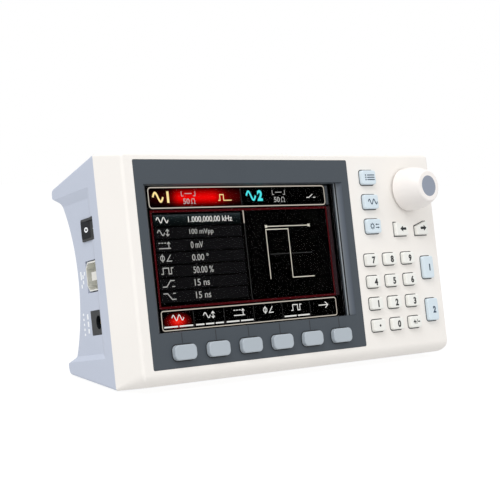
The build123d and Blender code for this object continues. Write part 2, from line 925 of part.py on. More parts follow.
def shell_profile():
    """Side view of the shell: sloping roof and base, two horns and a hollow back."""
    roof_end = (shell_depth, roof_z(shell_depth))
    base_end = (shell_depth, base_z(shell_depth))
    top_tip = (shell_depth, horn_top_z)
    low_tip = (shell_depth, horn_low_z)
    top_root = (back_edge, hollow_top)
    low_root = (back_edge, hollow_bottom)
    outline = make_face([
        Line((frame_depth, shell_top), roof_end),
        Line(roof_end, top_tip),
        Line(top_tip, top_root),
        ThreePointArc(top_root, (back_depth, hollow_middle), low_root),
        Line(low_root, low_tip),
        Line(low_tip, base_end),
        Line(base_end, (frame_depth, frame_bottom)),
        Line((frame_depth, frame_bottom), (frame_depth, shell_top)),
    ])
    roundings = (
        (roof_end, horn_top_outer), (top_tip, horn_top_inner),
        (base_end, horn_low_outer), (low_tip, horn_low_inner),
        (top_root, hollow_round), (low_root, hollow_round),
    )
    for corner, radius in roundings:
        outline = fillet(outline.vertices().sort_by_distance(corner)[0], radius)
    return outline


def cavity_profile():
    """Side view of the room inside the shell, ahead of the solid horns."""
    rear = back_edge - wall
    roof_drop = wall / math.cos(math.radians(roof_slope))
    base_lift = wall / math.cos(math.radians(base_slope))
    start = frame_depth + lip_root
    top_root = (rear, hollow_top)
    low_root = (rear, hollow_bottom)
    return make_face([
        Line((start, roof_z(start) - roof_drop), (rear, roof_z(rear) - roof_drop)),
        Line((rear, roof_z(rear) - roof_drop), top_root),
        ThreePointArc(top_root, (back_depth - wall, hollow_middle), low_root),
        Line(low_root, (rear, base_z(rear) + base_lift)),
        Line((rear, base_z(rear) + base_lift), (start, base_z(start) + base_lift)),
        Line((start, base_z(start) + base_lift), (start, roof_z(start) - roof_drop)),
    ])


def side_recess(grow):
    """Shallow recess in the left wall, made larger and deeper by a growth."""
    low = hollow_bottom - recess_bottom_gap
    high = hollow_top + recess_top_gap
    plane = wall_plane("left", recess_front, 0, 0)
    reach = (shell_depth - recess_front) / cos_taper + 10
    depth = recess_depth + grow
    inner = plane.offset(-depth) * polygon(
        (grow - recess_border_front, low + recess_border_bottom - grow),
        (grow - recess_border_front, high - recess_border_top + grow),
        (-reach, high - recess_border_top + grow),
        (-reach, low + recess_border_bottom - grow),
    )
    outer = plane * polygon(
        (grow, low - grow), (grow, high + grow), (-reach, high + grow), (-reach, low - grow)
    )
    cut = loft([inner.face(), outer.face()], ruled=True)
    return cut + extrude(outer, 5.0)


def both_sides(shape):
    """A left-hand shape and its mirror image on the right."""
    return shape + mirror(shape, Plane.YZ.offset(middle_x))


def shell_outer():
    """Outside of the shell: a wedge cut to the side view."""
    end = shell_depth + 1.0
    narrow = (end - frame_depth) * tan_taper
    body = tapered_box(
        (frame_depth, shell_left, shell_right, frame_bottom, shell_top),
        (end, shell_left + narrow, shell_right - narrow, base_z(end), roof_z(end)),
    )
    body = fillet(lengthways(body, True) + lengthways(body, False), corner_rear)
    return body & extrude(Plane.YZ * shell_profile(), FAR, both=True)


def neck(inset, y0, y1):
    """Straight opening at the front of the shell."""
    _, left, right, bottom, top = frame_section(frame_depth, inset)
    return box(left, right, y0, y1, bottom, top)


def case_boss(x, z):
    """Tube from the back of the shell to the main board."""
    return along_y(x, z, case_boss_radius, main_back, back_edge + wall)


def foot_places():
    """Centres of the feet, as x and depth."""
    left = middle_x - (shell_right - shell_left) / 2 + foot_inset
    right = middle_x + (shell_right - shell_left) / 2 - foot_inset
    return [(x, y) for x in (left, right) for y in foot_y]


def foot_form(x, y, radius, low, high):
    """Disc square to the base, between two heights above it."""
    disc = Cylinder(radius, high - low, align=(Align.CENTER, Align.CENTER, Align.MIN))
    return Pos(x, y, base_z(y)) * Rot(base_slope, 0, 0) * Pos(0, 0, low) * disc


def vents():
    """Slots through the hollow back."""
    cuts = []
    for start in vent_x:
        for index in range(vent_count):
            x = start - vent_pitch * (vent_count - 1) / 2 + index * vent_pitch
            outline = rounded(x, hollow_middle, vent_width, vent_height, vent_width * 0.45)
            cuts.append(slab(outline, back_depth - 2 * wall, back_edge))
    return cuts


def port_hole(row, length, height, low):
    """Hole in the left wall for a port, open from a height outwards."""
    gap = 2 * port_gap
    return block(left_port(row), length + gap, height + gap, low, wall_cut)


def rear_shell():
    """Grey rear shell."""
    outer = shell_outer()
    room = crossing(shell_plan(wall), cavity_profile()) - both_sides(side_recess(wall))
    body = outer - room
    lip = wall + seam
    inner = lip + lip_thick
    body += frame_form(lip, frame_depth - lip_length, frame_depth) & neck(0.0, 0.0, frame_depth)
    body -= neck(inner, 0.0, frame_depth + lip_root)
    bosses = Part() + [case_boss(x, z) for x, z in CASE_PLACES]
    body += bosses & outer
    body -= both_sides(side_recess(0.0))
    for x, z in CASE_PLACES:
        body -= along_y(x, z, case_screw_radius + case_play, main_back, case_seat)
        body -= along_y(x, z, case_head_radius + case_play, case_seat, shell_depth)
    for x, y in foot_places():
        body -= foot_form(x, y, foot_radius, -1.0, foot_thick - foot_proud)
    body -= vents()
    tube_length, tube_height = switch_tube()
    body -= port_hole(1, tube_length, tube_height, -wall_cut)
    body -= port_hole(0, usb_length, usb_height + 2 * usb_room, -wall_cut)
    body -= port_hole(-1, jack_length, jack_height, -wall_cut)
    body -= port_hole(1, rocker_length, rocker_height, 0)
    for row in (-1, 0, 1):
        body -= rod(right_port(row), 0, 0, socket_radius + port_gap, -wall_cut, 1)
        body -= rod(right_port(row), 0, 0, socket_flange + port_gap, 0, wall_cut)
    return body


def case_screws():
    """Four long screws through the shell and the main board into the spacers."""
    screws = []
    end = case_seat + case_head
    start = end - case_head / 2
    arm = case_head_radius * 0.6
    slot = case_head_radius * 0.12
    for x, z in CASE_PLACES:
        shank = along_y(x, z, case_screw_radius, chassis_back + seam, case_seat)
        head = along_y(x, z, case_head_radius, case_seat, end)
        across = box(x - arm, x + arm, start, end, z - slot, z + slot)
        upright = box(x - slot, x + slot, start, end, z - arm, z + arm)
        screws.append(shank + head - across - upright)
    return Compound(screws)


def rubber_feet():
    """Four round feet set in the base."""
    top = foot_thick - foot_proud
    return Compound([foot_form(x, y, foot_radius, -foot_proud, top) for x, y in foot_places()])


# ---------------------------------------------------------------- side ports


def rocker_plane():
    """Plane across the switch, seen from above: x is forward, y is outward."""
    plane = left_port(1)
    return Plane(origin=plane.origin, x_dir=plane.x_dir, z_dir=-plane.y_dir)


def paddle_crest():
    """Height of the paddle's ends above the wall, before it is turned."""
    return paddle_valley + paddle_half * math.tan(math.radians(paddle_angle))


def well_half():
    """Half length of the switch's well, which clears the paddle's swinging ends."""
    height = paddle_crest() + paddle_pivot
    angle = math.atan2(height, paddle_half) - math.radians(paddle_swing / 2)
    return math.hypot(height, paddle_half) * math.cos(angle) + end_gap


def switch_tube():
    """Length and height of the switch's body behind the wall."""
    return 2 * well_half() + 0.6, rocker_height - 2 * rocker_lip


def power_switch_body():
    """Body of the rocker switch, snapped into the left wall."""
    plane = left_port(1)
    tube_length, tube_height = switch_tube()
    body = block(plane, rocker_length, rocker_height, 0, rocker_lip_thick, 0.6)
    body += block(plane, tube_length, tube_height, -rocker_depth, 0)
    well_height = paddle_height + 2 * running_gap
    body -= block(plane, 2 * well_half(), well_height, -rocker_depth + 1.0, rocker_lip_thick)
    for x in (-blade_place, blade_place):
        blade = plane.offset(-rocker_depth - blade_length) * Pos(x, 0)
        body += extrude(blade * Rectangle(blade_thick, blade_width), blade_length)
    return body


def paddle_outline():
    """Paddle seen along its pin: two faces in a shallow V over a tapering body."""
    foot = paddle_half - paddle_taper
    return polygon(
        (-paddle_half, paddle_crest()),
        (0, paddle_valley),
        (paddle_half, paddle_crest()),
        (foot, -paddle_depth),
        (-foot, -paddle_depth),
    )


def power_rocker():
    """Paddle at rest, with its front half pressed."""
    frame = rocker_plane()
    body = extrude(frame.offset(-paddle_height / 2) * paddle_outline(), paddle_height)
    return body.rotate(rocker_axis(), paddle_swing / 2)


def rocker_axis():
    """Axis of the paddle's pin, pointing up."""
    plane = left_port(1)
    middle = plane.origin - plane.z_dir * paddle_pivot
    return Axis(middle, plane.y_dir)


def usb_socket():
    """Sheet metal shell of the square data socket, with its two chamfered corners."""
    plane = left_port(0)
    outline = Rectangle(usb_length, usb_height)
    corners = outline.vertices().group_by(Axis.X)[0]
    outline = chamfer(corners, usb_chamfer)
    body = extrude(plane.offset(-usb_depth) * outline, usb_depth)
    return body - extrude(plane.offset(-usb_recess) * offset(outline, -usb_sheet), usb_recess)


def usb_tongue():
    """Plastic tongue in the data socket."""
    return block(left_port(0), tongue_length, tongue_height, -usb_recess, -0.8)


def dc_jack():
    """Housing of the round power jack."""
    plane = left_port(-1)
    body = block(plane, jack_length, jack_height, -jack_depth, 0, 0.4)
    return body - rod(plane, jack_offset, 0, jack_bore, -jack_recess, 1)


def dc_pin():
    """Centre pin of the power jack."""
    return rod(left_port(-1), jack_offset, 0, jack_pin_radius, -jack_recess, -1.0)


# ---------------------------------------------------------------- outputs


def output_socket(row):
    """Coaxial bayonet socket: flange outside the wall, barrel with two lugs, tail inside."""
    plane = right_port(row)
    body = rod(plane, 0, 0, socket_flange, 0, socket_flange_thick)
    body += rod(plane, 0, 0, socket_radius, -socket_tail, socket_reach)
    lug_height = socket_reach - lug_back
    lugs = extrude(
        Plane(origin=plane.origin + plane.z_dir * lug_height, x_dir=plane.x_dir, z_dir=plane.y_dir)
        * Circle(lug_radius),
        lug_reach, both=True,
    )
    body += lugs
    body -= rod(plane, 0, 0, socket_bore, 0.4, socket_reach)
    return body - rod(plane, 0, 0, insulator_radius, -socket_tail, 0.4)


def socket_insulators():
    """White sleeves in the three sockets."""
    sleeves = []
    for row in (1, 0, -1):
        plane = right_port(row)
        sleeve = rod(plane, 0, 0, insulator_radius, -socket_tail, insulator_reach)
        sleeves.append(sleeve - rod(plane, 0, 0, contact_radius, -socket_tail, insulator_reach))
    return Compound(sleeves)


def socket_contacts():
    """Centre contacts of the three sockets, with a tail to the output board."""
    pins = []
    for row in (1, 0, -1):
        plane = right_port(row)
        pin = rod(plane, 0, 0, contact_radius, -socket_tail - contact_tail, contact_reach)
        pins.append(pin - rod(plane, 0, 0, contact_bore, 1.0, contact_reach))
    return Compound(pins)


def socket_nuts():
    """Hexagonal nuts behind the wall."""
    nuts = []
    inner = -wall
    for row in (1, 0, -1):
        plane = right_port(row)
        hexagon = plane.offset(inner - socket_nut_thick) * RegularPolygon(socket_nut_radius, 6)
        nut = extrude(hexagon, socket_nut_thick)
        nuts.append(nut - rod(plane, 0, 0, socket_radius, inner - socket_nut_thick, inner))
    return Compound(nuts)


def output_board():
    """Small board that the sockets' tails are soldered to, standing on the main board."""
    plane = right_port(0)
    height = 2 * (port_pitch + socket_radius + output_board_edge)
    face = -socket_tail - contact_tail
    body = block(plane, 2 * shell_depth, height, face - output_board_thick, face)
    return body & box(-FAR, FAR, main_back, back_depth - wall - output_board_edge, -FAR, FAR)


# ---------------------------------------------------------------- on the main board


def heat_sink():
    """Finned aluminium block."""
    width, height = sink_size
    left = sink_place[0] - width / 2
    low = sink_place[1] - height / 2
    body = box(left, left + width, main_back, main_back + sink_base, low, low + height)
    top = main_back + sink_height
    pitch = (width - fin_thick) / (fin_count - 1)
    for index in range(fin_count):
        start = left + index * pitch
        body += box(start, start + fin_thick, main_back, top, low, low + height)
    return body


# ---------------------------------------------------------------- all pieces


def all_pieces():
    """Every piece in the panel frame, by name."""
    pieces = {
        "front_frame": front_frame(),
        "display_bezel": display_bezel(),
        "screen_lens": screen_lens(),
        "screen_gasket": screen_gasket(),
        "lcd_tray": lcd_tray(),
        "lcd_panel": lcd_panel(),
        "knob": knob(),
        "knob_cap": knob_cap(),
        "encoder_shaft": encoder_shaft(),
        "encoder_plunger": encoder_plunger(),
        "encoder_body": encoder_body(),
        "key_mat": key_mat(),
        "key_board": key_board(),
        "inner_screws": inner_screws(),
        "chassis_plate": chassis_plate(),
        "spacers": spacers(),
        "main_board": main_board(),
        "ribbon_cable": ribbon_cable(),
        "rear_shell": rear_shell(),
        "case_screws": case_screws(),
        "rubber_feet": rubber_feet(),
        "power_switch_body": power_switch_body(),
        "power_rocker": power_rocker(),
        "usb_socket": usb_socket(),
        "usb_tongue": usb_tongue(),
        "dc_jack": dc_jack(),
        "dc_pin": dc_pin(),
        "output_socket_1": output_socket(1),
        "output_socket_2": output_socket(0),
        "sync_socket": output_socket(-1),
        "socket_insulators": socket_insulators(),
        "socket_contacts": socket_contacts(),
        "socket_nuts": socket_nuts(),
        "output_board": output_board(),
        "heat_sink": heat_sink(),
    }
    for name, outline in list(SOFTKEYS.items()) + list(KEYPAD.items()):
        pieces[name] = key(outline)
    return pieces


def seat_of(pieces):
    """Location that leans the model back onto its base, centred over the origin."""
    lean = Rot(-base_slope, 0, 0)
    boxes = [(lean * piece).bounding_box() for piece in pieces.values()]
    low = [min(getattr(one.min, axis) for one in boxes) for axis in "XYZ"]
    high = [max(getattr(one.max, axis) for one in boxes) for axis in "XYZ"]
    return Pos(-(low[0] + high[0]) / 2, -(low[1] + high[1]) / 2, -low[2]) * lean


PIECES = all_pieces()
SEAT = seat_of(PIECES)

os.makedirs("parts", exist_ok=True)
for name, piece in PIECES.items():
    export_step(SEAT * piece, "parts/%s.step" % name)
print("pieces", len(PIECES), "seat", SEAT)
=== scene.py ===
# %% [markdown]
# A bench function generator: a white front leaned back on its base, a dark plate round a
# colour display, moulded keys, a knob, and a blue-grey rear shell with a hollow back.
# The hard parts come from the imported model, already in place, in metres. What is added here
# is what sits on them: the finish of each plastic, the printed signs and the lit display.
# %% Load the model
import json
import math

import bmesh
import bpy
from mathutils import Matrix, Vector


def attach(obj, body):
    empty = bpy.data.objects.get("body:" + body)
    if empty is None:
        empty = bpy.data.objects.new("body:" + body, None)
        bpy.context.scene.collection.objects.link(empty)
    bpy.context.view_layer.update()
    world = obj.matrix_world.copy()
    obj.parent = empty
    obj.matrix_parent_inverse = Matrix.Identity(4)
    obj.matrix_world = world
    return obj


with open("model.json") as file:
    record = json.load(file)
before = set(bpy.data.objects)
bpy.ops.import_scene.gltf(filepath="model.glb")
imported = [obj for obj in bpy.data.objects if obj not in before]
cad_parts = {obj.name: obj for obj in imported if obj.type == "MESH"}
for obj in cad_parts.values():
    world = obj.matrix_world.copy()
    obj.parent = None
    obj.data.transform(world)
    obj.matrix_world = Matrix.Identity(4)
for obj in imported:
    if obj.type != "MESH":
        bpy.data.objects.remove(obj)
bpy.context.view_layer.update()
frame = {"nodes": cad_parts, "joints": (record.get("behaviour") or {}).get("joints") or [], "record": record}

# %% [markdown]
# The front panel leans back, and its signs are drawn flat before they are laid on it. The
# lean could be typed in as an angle, but might then drift from the model. Every key slides
# straight into the panel and the rocker turns about a line that runs up it, so the joints
# give both directions. The side wall tapers, and a socket's own axis gives the way out of it.
# %% Directions on the panel and on the side wall
MM = 0.001
joints = {joint["name"]: joint for joint in frame["joints"]}
mounts = {mount["name"]: mount for mount in frame["record"]["mounts"]}
INTO = Vector(joints["knob_spin"]["axis"]).normalized()
UP = Vector(joints["power_rocker_tilt"]["axis"]).normalized()
ACROSS = INTO.cross(UP)
OUT_LEFT = Vector(mounts["usb_data"]["axis"]).normalized()
FORWARD = UP.cross(OUT_LEFT)
LEAN = math.atan2(-INTO.z, INTO.y)
print("lean", round(math.degrees(LEAN), 2))

# %% [markdown]
# A drawing is made in millimetres, with x to the right and y up. A matrix turns those two
# ways into the panel's own and moves the mesh to its place, which leaves the object at the
# origin. Places are read from the extents of the parts, so a sign stays amid its key.
# %% Lay a flat drawing
def panel_point(x, depth, z):
    """Point at a place across, into and up the panel, in millimetres."""
    return (ACROSS * x + INTO * depth + UP * z) * MM


def extent(node):
    """Lowest and highest place of a node across, into and up the panel, in millimetres."""
    points = [vertex.co for vertex in frame["nodes"][node].data.vertices]
    spans = [[point.dot(axis) / MM for point in points] for axis in (ACROSS, INTO, UP)]
    return [min(span) for span in spans], [max(span) for span in spans]


def facing(origin, x_axis, y_axis):
    """Matrix that lays a flat drawing at a point, with the given right and up directions."""
    turn = Matrix((x_axis, y_axis, x_axis.cross(y_axis))).transposed().to_4x4()
    return Matrix.Translation(origin) @ turn


def on_panel(x, depth, z):
    """Matrix that lays a flat drawing on the panel, facing the user."""
    return facing(panel_point(x, depth, z), ACROSS, UP)


panel_low, panel_high = extent("front_frame")
print("panel", round(panel_high[0] - panel_low[0], 1), "x", round(panel_high[2] - panel_low[2], 1))

# %% [markdown]
# Colours are written as sRGB hex values, as a paint chart gives them, and one function turns
# them into the linear values that the shader works with. One more function adds a shader
# node with its settings and links. Those two are enough for every material that follows.
# %% Colour and node helpers
def linear(code):
    """Linear colour of an sRGB hex value."""
    parts = [int(code[i:i + 2], 16) / 255 for i in (1, 3, 5)]
    return [c / 12.92 if c <= 0.04045 else ((c + 0.055) / 1.055) ** 2.4 for c in parts] + [1.0]


def add(tree, kind, inputs=None, **settings):
    """Adds a node, applies its settings, and fills or links its inputs."""
    made = tree.nodes.new(kind)
    for name, value in settings.items():
        setattr(made, name, value)
    for socket, value in (inputs or {}).items():
        if isinstance(value, bpy.types.NodeSocket):
            tree.links.new(value, made.inputs[socket])
        else:
            made.inputs[socket].default_value = value
    return made


def new_material(name):
    """Empty material and its node tree."""
    made = bpy.data.materials.new(name)
    made.use_nodes = True
    made.node_tree.nodes.clear()
    return made, made.node_tree


def finish_shader(tree, inputs):
    """Principled shader with its inputs, joined to the output."""
    shader = add(tree, "ShaderNodeBsdfPrincipled", inputs)
    add(tree, "ShaderNodeOutputMaterial", {"Surface": shader.outputs["BSDF"]})


print("middle grey is", round(linear("#808080")[0], 3), "in linear light")

# %% [markdown]
# The housing, the frame and the keys are injection-moulded ABS. The mould is spark-eroded,
# which leaves a grain that spreads the highlights. It is too fine to model, so one noise gives
# it, as a bump and in the roughness. A second, broad noise varies the colour by a hair, as
# real mouldings do near ribs and gates. Key tops are moulded smoother.
# %% Moulded plastics
def moulded_plastic(name, colour, shade, rough, grain=0.45, relief=0.012, shine=0.5):
    """ABS with a spark-eroded grain: grain size and relief in millimetres."""
    made, tree = new_material(name)
    place = add(tree, "ShaderNodeTexCoord").outputs["Object"]
    broad = add(tree, "ShaderNodeTexNoise", {
        "Vector": place, "Scale": 1 / (22 * MM), "Detail": 2.0,
    })
    fine = add(tree, "ShaderNodeTexNoise", {
        "Vector": place, "Scale": 1 / (grain * MM), "Detail": 1.0,
    })
    tint = add(tree, "ShaderNodeMix", {
        "Factor": broad.outputs["Fac"], "A": linear(colour), "B": linear(shade),
    }, data_type="RGBA")
    gloss = add(tree, "ShaderNodeMapRange", {
        "Value": fine.outputs["Fac"], "To Min": rough - 0.06, "To Max": rough + 0.06,
    })
    bump = add(tree, "ShaderNodeBump", {
        "Height": fine.outputs["Fac"], "Strength": 0.35, "Distance": relief * MM,
    })
    finish_shader(tree, {
        "Base Color": tint.outputs["Result"], "Roughness": gloss.outputs["Result"],
        "Normal": bump.outputs["Normal"], "IOR": 1.5, "Specular IOR Level": shine,
    })
    return made


white_abs = moulded_plastic("white ABS, fine grain", "#F5F1EC", "#F1EDE8", 0.52)
grey_abs = moulded_plastic("blue-grey ABS, fine grain", "#C5CCDC", "#BFC7D7", 0.55)
bezel_abs = moulded_plastic("dark grey ABS, fine grain", "#484F56", "#444B52", 0.5, shine=0.25)
knob_abs = moulded_plastic("white ABS, satin", "#F5F0ED", "#F2EDE9", 0.40, 0.4, 0.006)
cap_abs = moulded_plastic("slate grey ABS, satin", "#8F97A6", "#8991A1", 0.38, 0.4, 0.006)
key_abs = moulded_plastic("white key plastic", "#F1F1EC", "#EDEDE8", 0.42, 0.4, 0.005)
blue_key_abs = moulded_plastic("pale blue key plastic", "#D8E5ED", "#D3E1EA", 0.42, 0.4, 0.005)
softkey_abs = moulded_plastic("pale grey key plastic", "#B0B9C1", "#ABB4BC", 0.42, 0.4, 0.005)
black_abs = moulded_plastic("black switch plastic", "#151A1E", "#11161A", 0.4, 0.4, 0.006, 0.3)
port_plastic = moulded_plastic("white connector plastic", "#E9E8E2", "#E2E1DA", 0.45, 0.4, 0.005)
print("plastics", len(bpy.data.materials))

# %% [markdown]
# The sockets are nickel-plated, bright with faint turning marks, and the sheet steel inside is
# rolled and zinc-plated. A brush or a roller drags the surface one way. So the noise that
# varies the roughness is stretched into streaks, which costs less than a bump and reads the
# same at this size.
# %% Metals
def plain_metal(name, colour, rough, streak):
    """Metal whose roughness varies in streaks along X: streak length in millimetres."""
    made, tree = new_material(name)
    place = add(tree, "ShaderNodeTexCoord").outputs["Object"]
    stretched = add(tree, "ShaderNodeMapping", {
        "Vector": place, "Scale": (1 / (streak * MM), 1 / (0.5 * MM), 1 / (0.5 * MM)),
    })
    noise = add(tree, "ShaderNodeTexNoise", {"Vector": stretched.outputs["Vector"], "Scale": 1.0})
    gloss = add(tree, "ShaderNodeMapRange", {
        "Value": noise.outputs["Fac"], "To Min": rough - 0.07, "To Max": rough + 0.10,
    })
    finish_shader(tree, {
        "Base Color": linear(colour), "Metallic": 1.0, "Roughness": gloss.outputs["Result"],
    })
    return made


nickel = plain_metal("nickel plate, turned", "#C9CBCE", 0.24, 3.0)
tin_plate = plain_metal("bright tin plate", "#FFFFFA", 0.42, 3.0)
steel = plain_metal("zinc-plated sheet steel", "#B5B8BC", 0.38, 14.0)
brass = plain_metal("bright brass", "#D0AE62", 0.28, 3.0)
aluminium = plain_metal("anodised aluminium", "#8D9094", 0.42, 10.0)
print("metals", [metal.name for metal in (nickel, tin_plate, steel, brass, aluminium)])

# %% [markdown]
# Rubber, foam and film are matt and a little mottled, so one function with a soft noise bump
# serves all four. The circuit boards wear green solder mask over copper tracks. Real tracks
# would need a drawing of the circuit, and a brick pattern hints at them well enough.
# %% Rubber, foam, film and boards
def soft_stuff(name, colour, rough, grain):
    """Rubber or foam with a soft mottled surface: grain in millimetres."""
    made, tree = new_material(name)
    place = add(tree, "ShaderNodeTexCoord").outputs["Object"]
    noise = add(tree, "ShaderNodeTexNoise", {"Vector": place, "Scale": 1 / (grain * MM)})
    bump = add(tree, "ShaderNodeBump", {
        "Height": noise.outputs["Fac"], "Strength": 0.4, "Distance": 0.04 * MM,
    })
    finish_shader(tree, {
        "Base Color": linear(colour), "Roughness": rough, "Normal": bump.outputs["Normal"],
    })
    return made


silicone = soft_stuff("translucent silicone", "#C9CCD0", 0.55, 0.8)
foam = soft_stuff("black foam", "#1B1C1E", 0.9, 0.5)
foot_rubber = soft_stuff("grey rubber", "#46494E", 0.75, 0.6)
ribbon_film = soft_stuff("amber polyimide film", "#B77A2E", 0.35, 2.0)
board, tree = new_material("green solder mask")
place = add(tree, "ShaderNodeTexCoord").outputs["Object"]
tracks = add(tree, "ShaderNodeTexBrick", {
    "Vector": place, "Scale": 1 / (12 * MM), "Mortar Size": 0.03,
    "Color1": linear("#1D5A38"), "Color2": linear("#1A5234"), "Mortar": linear("#2E7A4C"),
})
finish_shader(tree, {"Base Color": tracks.outputs["Color"], "Roughness": 0.35})
print("boards and soft stuffs", len([silicone, foam, foot_rubber, ribbon_film, board]))

# %% [markdown]
# The display's glass and its clear acrylic cover are coated so that they mirror next to
# nothing, which keeps the dark parts of the picture black. Full reflections would be truer to
# bare glass, but would grey the picture. So the cover bends light hardly at all.
# %% Display glass and cover
acrylic, tree = new_material("clear acrylic, anti-glare")
finish_shader(tree, {
    "Base Color": linear("#FEFEFF"), "Roughness": 0.0, "IOR": 1.05,
    "Transmission Weight": 1.0, "Specular IOR Level": 0.1,
})
display_glass, tree = new_material("display glass, black")
finish_shader(tree, {
    "Base Color": linear("#020202"), "Roughness": 0.3, "Specular IOR Level": 0.0,
})
print("materials", len(bpy.data.materials))

# %% [markdown]
# A moulded or turned part is one stuff throughout, so each takes a single material. Setting
# them one by one would hide the choice, and a table shows it. The keys go by their kind.
# %% Dress the model
DRESS = (
    (white_abs, "front_frame"), (grey_abs, "rear_shell"), (bezel_abs, "display_bezel"),
    (acrylic, "screen_lens"), (foam, "screen_gasket"), (display_glass, "lcd_panel"),
    (knob_abs, "knob"), (cap_abs, "knob_cap"), (silicone, "key_mat"),
    (steel, "lcd_tray encoder_shaft encoder_body inner_screws case_screws chassis_plate"),
    (black_abs, "encoder_plunger power_switch_body power_rocker dc_jack"),
    (board, "key_board main_board output_board"), (brass, "spacers dc_pin socket_contacts"),
    (ribbon_film, "ribbon_cable"), (foot_rubber, "rubber_feet"), (tin_plate, "usb_socket"),
    (nickel, "output_socket_1 output_socket_2 sync_socket socket_nuts"),
    (port_plastic, "usb_tongue socket_insulators"), (aluminium, "heat_sink"),
)
BLUE_KEYS = ("mode_key", "wave_key", "utility_key", "channel_1_key", "channel_2_key")
by_name = {name: material for material, names in DRESS for name in names.split()}
by_name.update({name: blue_key_abs for name in BLUE_KEYS})
for name, part in frame["nodes"].items():
    key_plastic = softkey_abs if name.startswith("softkey") else key_abs
    part.data.materials.clear()
    part.data.materials.append(by_name.get(name, key_plastic))
print("dressed", len(frame["nodes"]), "by name", len(by_name))

# %% [markdown]
# Signs are pad-printed: a skin of ink a few hundredths of a millimetre thick. A texture would
# need an image, so each sign is one closed mesh made of lines and filled areas. A line is
# built from cross-sections with mitred corners, so that its width stays even round a bend.
# %% Lines and filled areas
def strip(mesh, points, width, thick, closed=False):
    """Adds a line of even width that follows the points."""
    count = len(points)
    flat = [Vector(point) for point in points]
    rings = []
    for index, point in enumerate(flat):
        before = flat[index - 1] if index or closed else None
        after = flat[(index + 1) % count] if index + 1 < count or closed else None
        ahead = (after - point).normalized() if after is not None else None
        behind = (point - before).normalized() if before is not None else ahead
        ahead = ahead or behind
        middle = (ahead + behind).normalized()
        side = Vector((-middle.y, middle.x)) * (width / 2 / max(middle.dot(ahead), 0.3))
        left, right = point - side, point + side
        corners = ((left, 0), (right, 0), (right, thick), (left, thick))
        rings.append([mesh.verts.new((spot.x, spot.y, height)) for spot, height in corners])
    for index in range(count if closed else count - 1):
        one, two = rings[index], rings[(index + 1) % count]
        for k in range(4):
            mesh.faces.new((one[k], one[(k + 1) % 4], two[(k + 1) % 4], two[k]))
    if not closed:
        mesh.faces.new(rings[0])
        mesh.faces.new(reversed(rings[-1]))


def area(mesh, points, thick):
    """Adds a filled outline."""
    low = [mesh.verts.new((x, y, 0)) for x, y in points]
    high = [mesh.verts.new((x, y, thick)) for x, y in points]
    mesh.faces.new(reversed(low))
    mesh.faces.new(high)
    for k in range(len(points)):
        j = (k + 1) % len(points)
        mesh.faces.new((low[k], low[j], high[j], high[k]))


trial = bmesh.new()
strip(trial, [(0, 0), (1, 0), (1, 1)], 0.2, 0.03)
print("faces of a bent line", len(trial.faces))
trial.free()

# %% [markdown]
# Digits and units come from the built-in font. The text is made a mesh first and measured,
# because a font's own size says little about how tall its digits are, and then it is fitted
# to the height on the real key. Rings and rounded boxes are plain lists of points.
# %% Words and outlines
def word(mesh, text, x, y, width, height, thick, weight=0.012):
    """Adds text, its box centred at a point and fitted to a height, and a width if given."""
    curve = bpy.data.curves.new("word", "FONT")
    curve.body = text
    curve.offset = weight
    curve.resolution_u = 4
    holder = bpy.data.objects.new("word", curve)
    flat = bpy.data.meshes.new_from_object(holder)
    xs = [vertex.co.x for vertex in flat.vertices]
    ys = [vertex.co.y for vertex in flat.vertices]
    tall = height / (max(ys) - min(ys))
    wide = width / (max(xs) - min(xs)) if width else tall
    middle = Vector(((min(xs) + max(xs)) / 2, (min(ys) + max(ys)) / 2, 0))
    for polygon in flat.polygons:
        spots = [flat.vertices[index].co - middle for index in polygon.vertices]
        area(mesh, [(x + spot.x * wide, y + spot.y * tall) for spot in spots], thick)
    bpy.data.objects.remove(holder)
    bpy.data.curves.remove(curve)


def ring(x, y, radius_x, radius_y, count=28):
    """Points of an ellipse."""
    turns = [k * 2 * math.pi / count for k in range(count)]
    return [(x + radius_x * math.cos(turn), y + radius_y * math.sin(turn)) for turn in turns]


def box_outline(x0, x1, y0, y1, corner=0.0):
    """Points of a rectangle, with its corners rounded if asked."""
    if not corner:
        return [(x0, y0), (x1, y0), (x1, y1), (x0, y1)]
    points = []
    centres = ((x1 - corner, y1 - corner, 0), (x0 + corner, y1 - corner, 90),
               (x0 + corner, y0 + corner, 180), (x1 - corner, y0 + corner, 270))
    for x, y, start in centres:
        for step in range(5):
            angle = math.radians(start + step * 22.5)
            points.append((x + corner * math.cos(angle), y + corner * math.sin(angle)))
    return points


print("points in a ring", len(ring(0, 0, 1, 1)), "and a box", len(box_outline(0, 9, 0, 9, 1)))

# %% [markdown]
# One function makes every flat piece: it runs a drawing, lays the result in place, and says
# which body the piece rides on. A drawing is itself a function, so it can be used on a key
# and on the display alike. Most signs are only lines, and those are written as data: the
# points of each line, its width, and True where it closes on itself. The ink starts a hair
# in front of the surface, so that the two never share a place.
# %% One printed piece
INK_THICK = 0.03
INK_LIFT = 0.005


def artwork(name, draw, place, material, body, thick=INK_THICK):
    """One printed or lit piece: draw adds its shapes, in millimetres, to a new mesh."""
    shapes = bmesh.new()
    draw(shapes, thick)
    bmesh.ops.scale(shapes, vec=(MM, MM, MM), verts=shapes.verts)
    bmesh.ops.transform(shapes, matrix=place, verts=shapes.verts)
    bmesh.ops.remove_doubles(shapes, verts=shapes.verts, dist=1e-7)
    bmesh.ops.recalc_face_normals(shapes, faces=shapes.faces)
    mesh = bpy.data.meshes.new(name)
    shapes.to_mesh(mesh)
    shapes.free()
    mesh.materials.append(material)
    piece = bpy.data.objects.new(name, mesh)
    bpy.context.scene.collection.objects.link(piece)
    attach(piece, body)


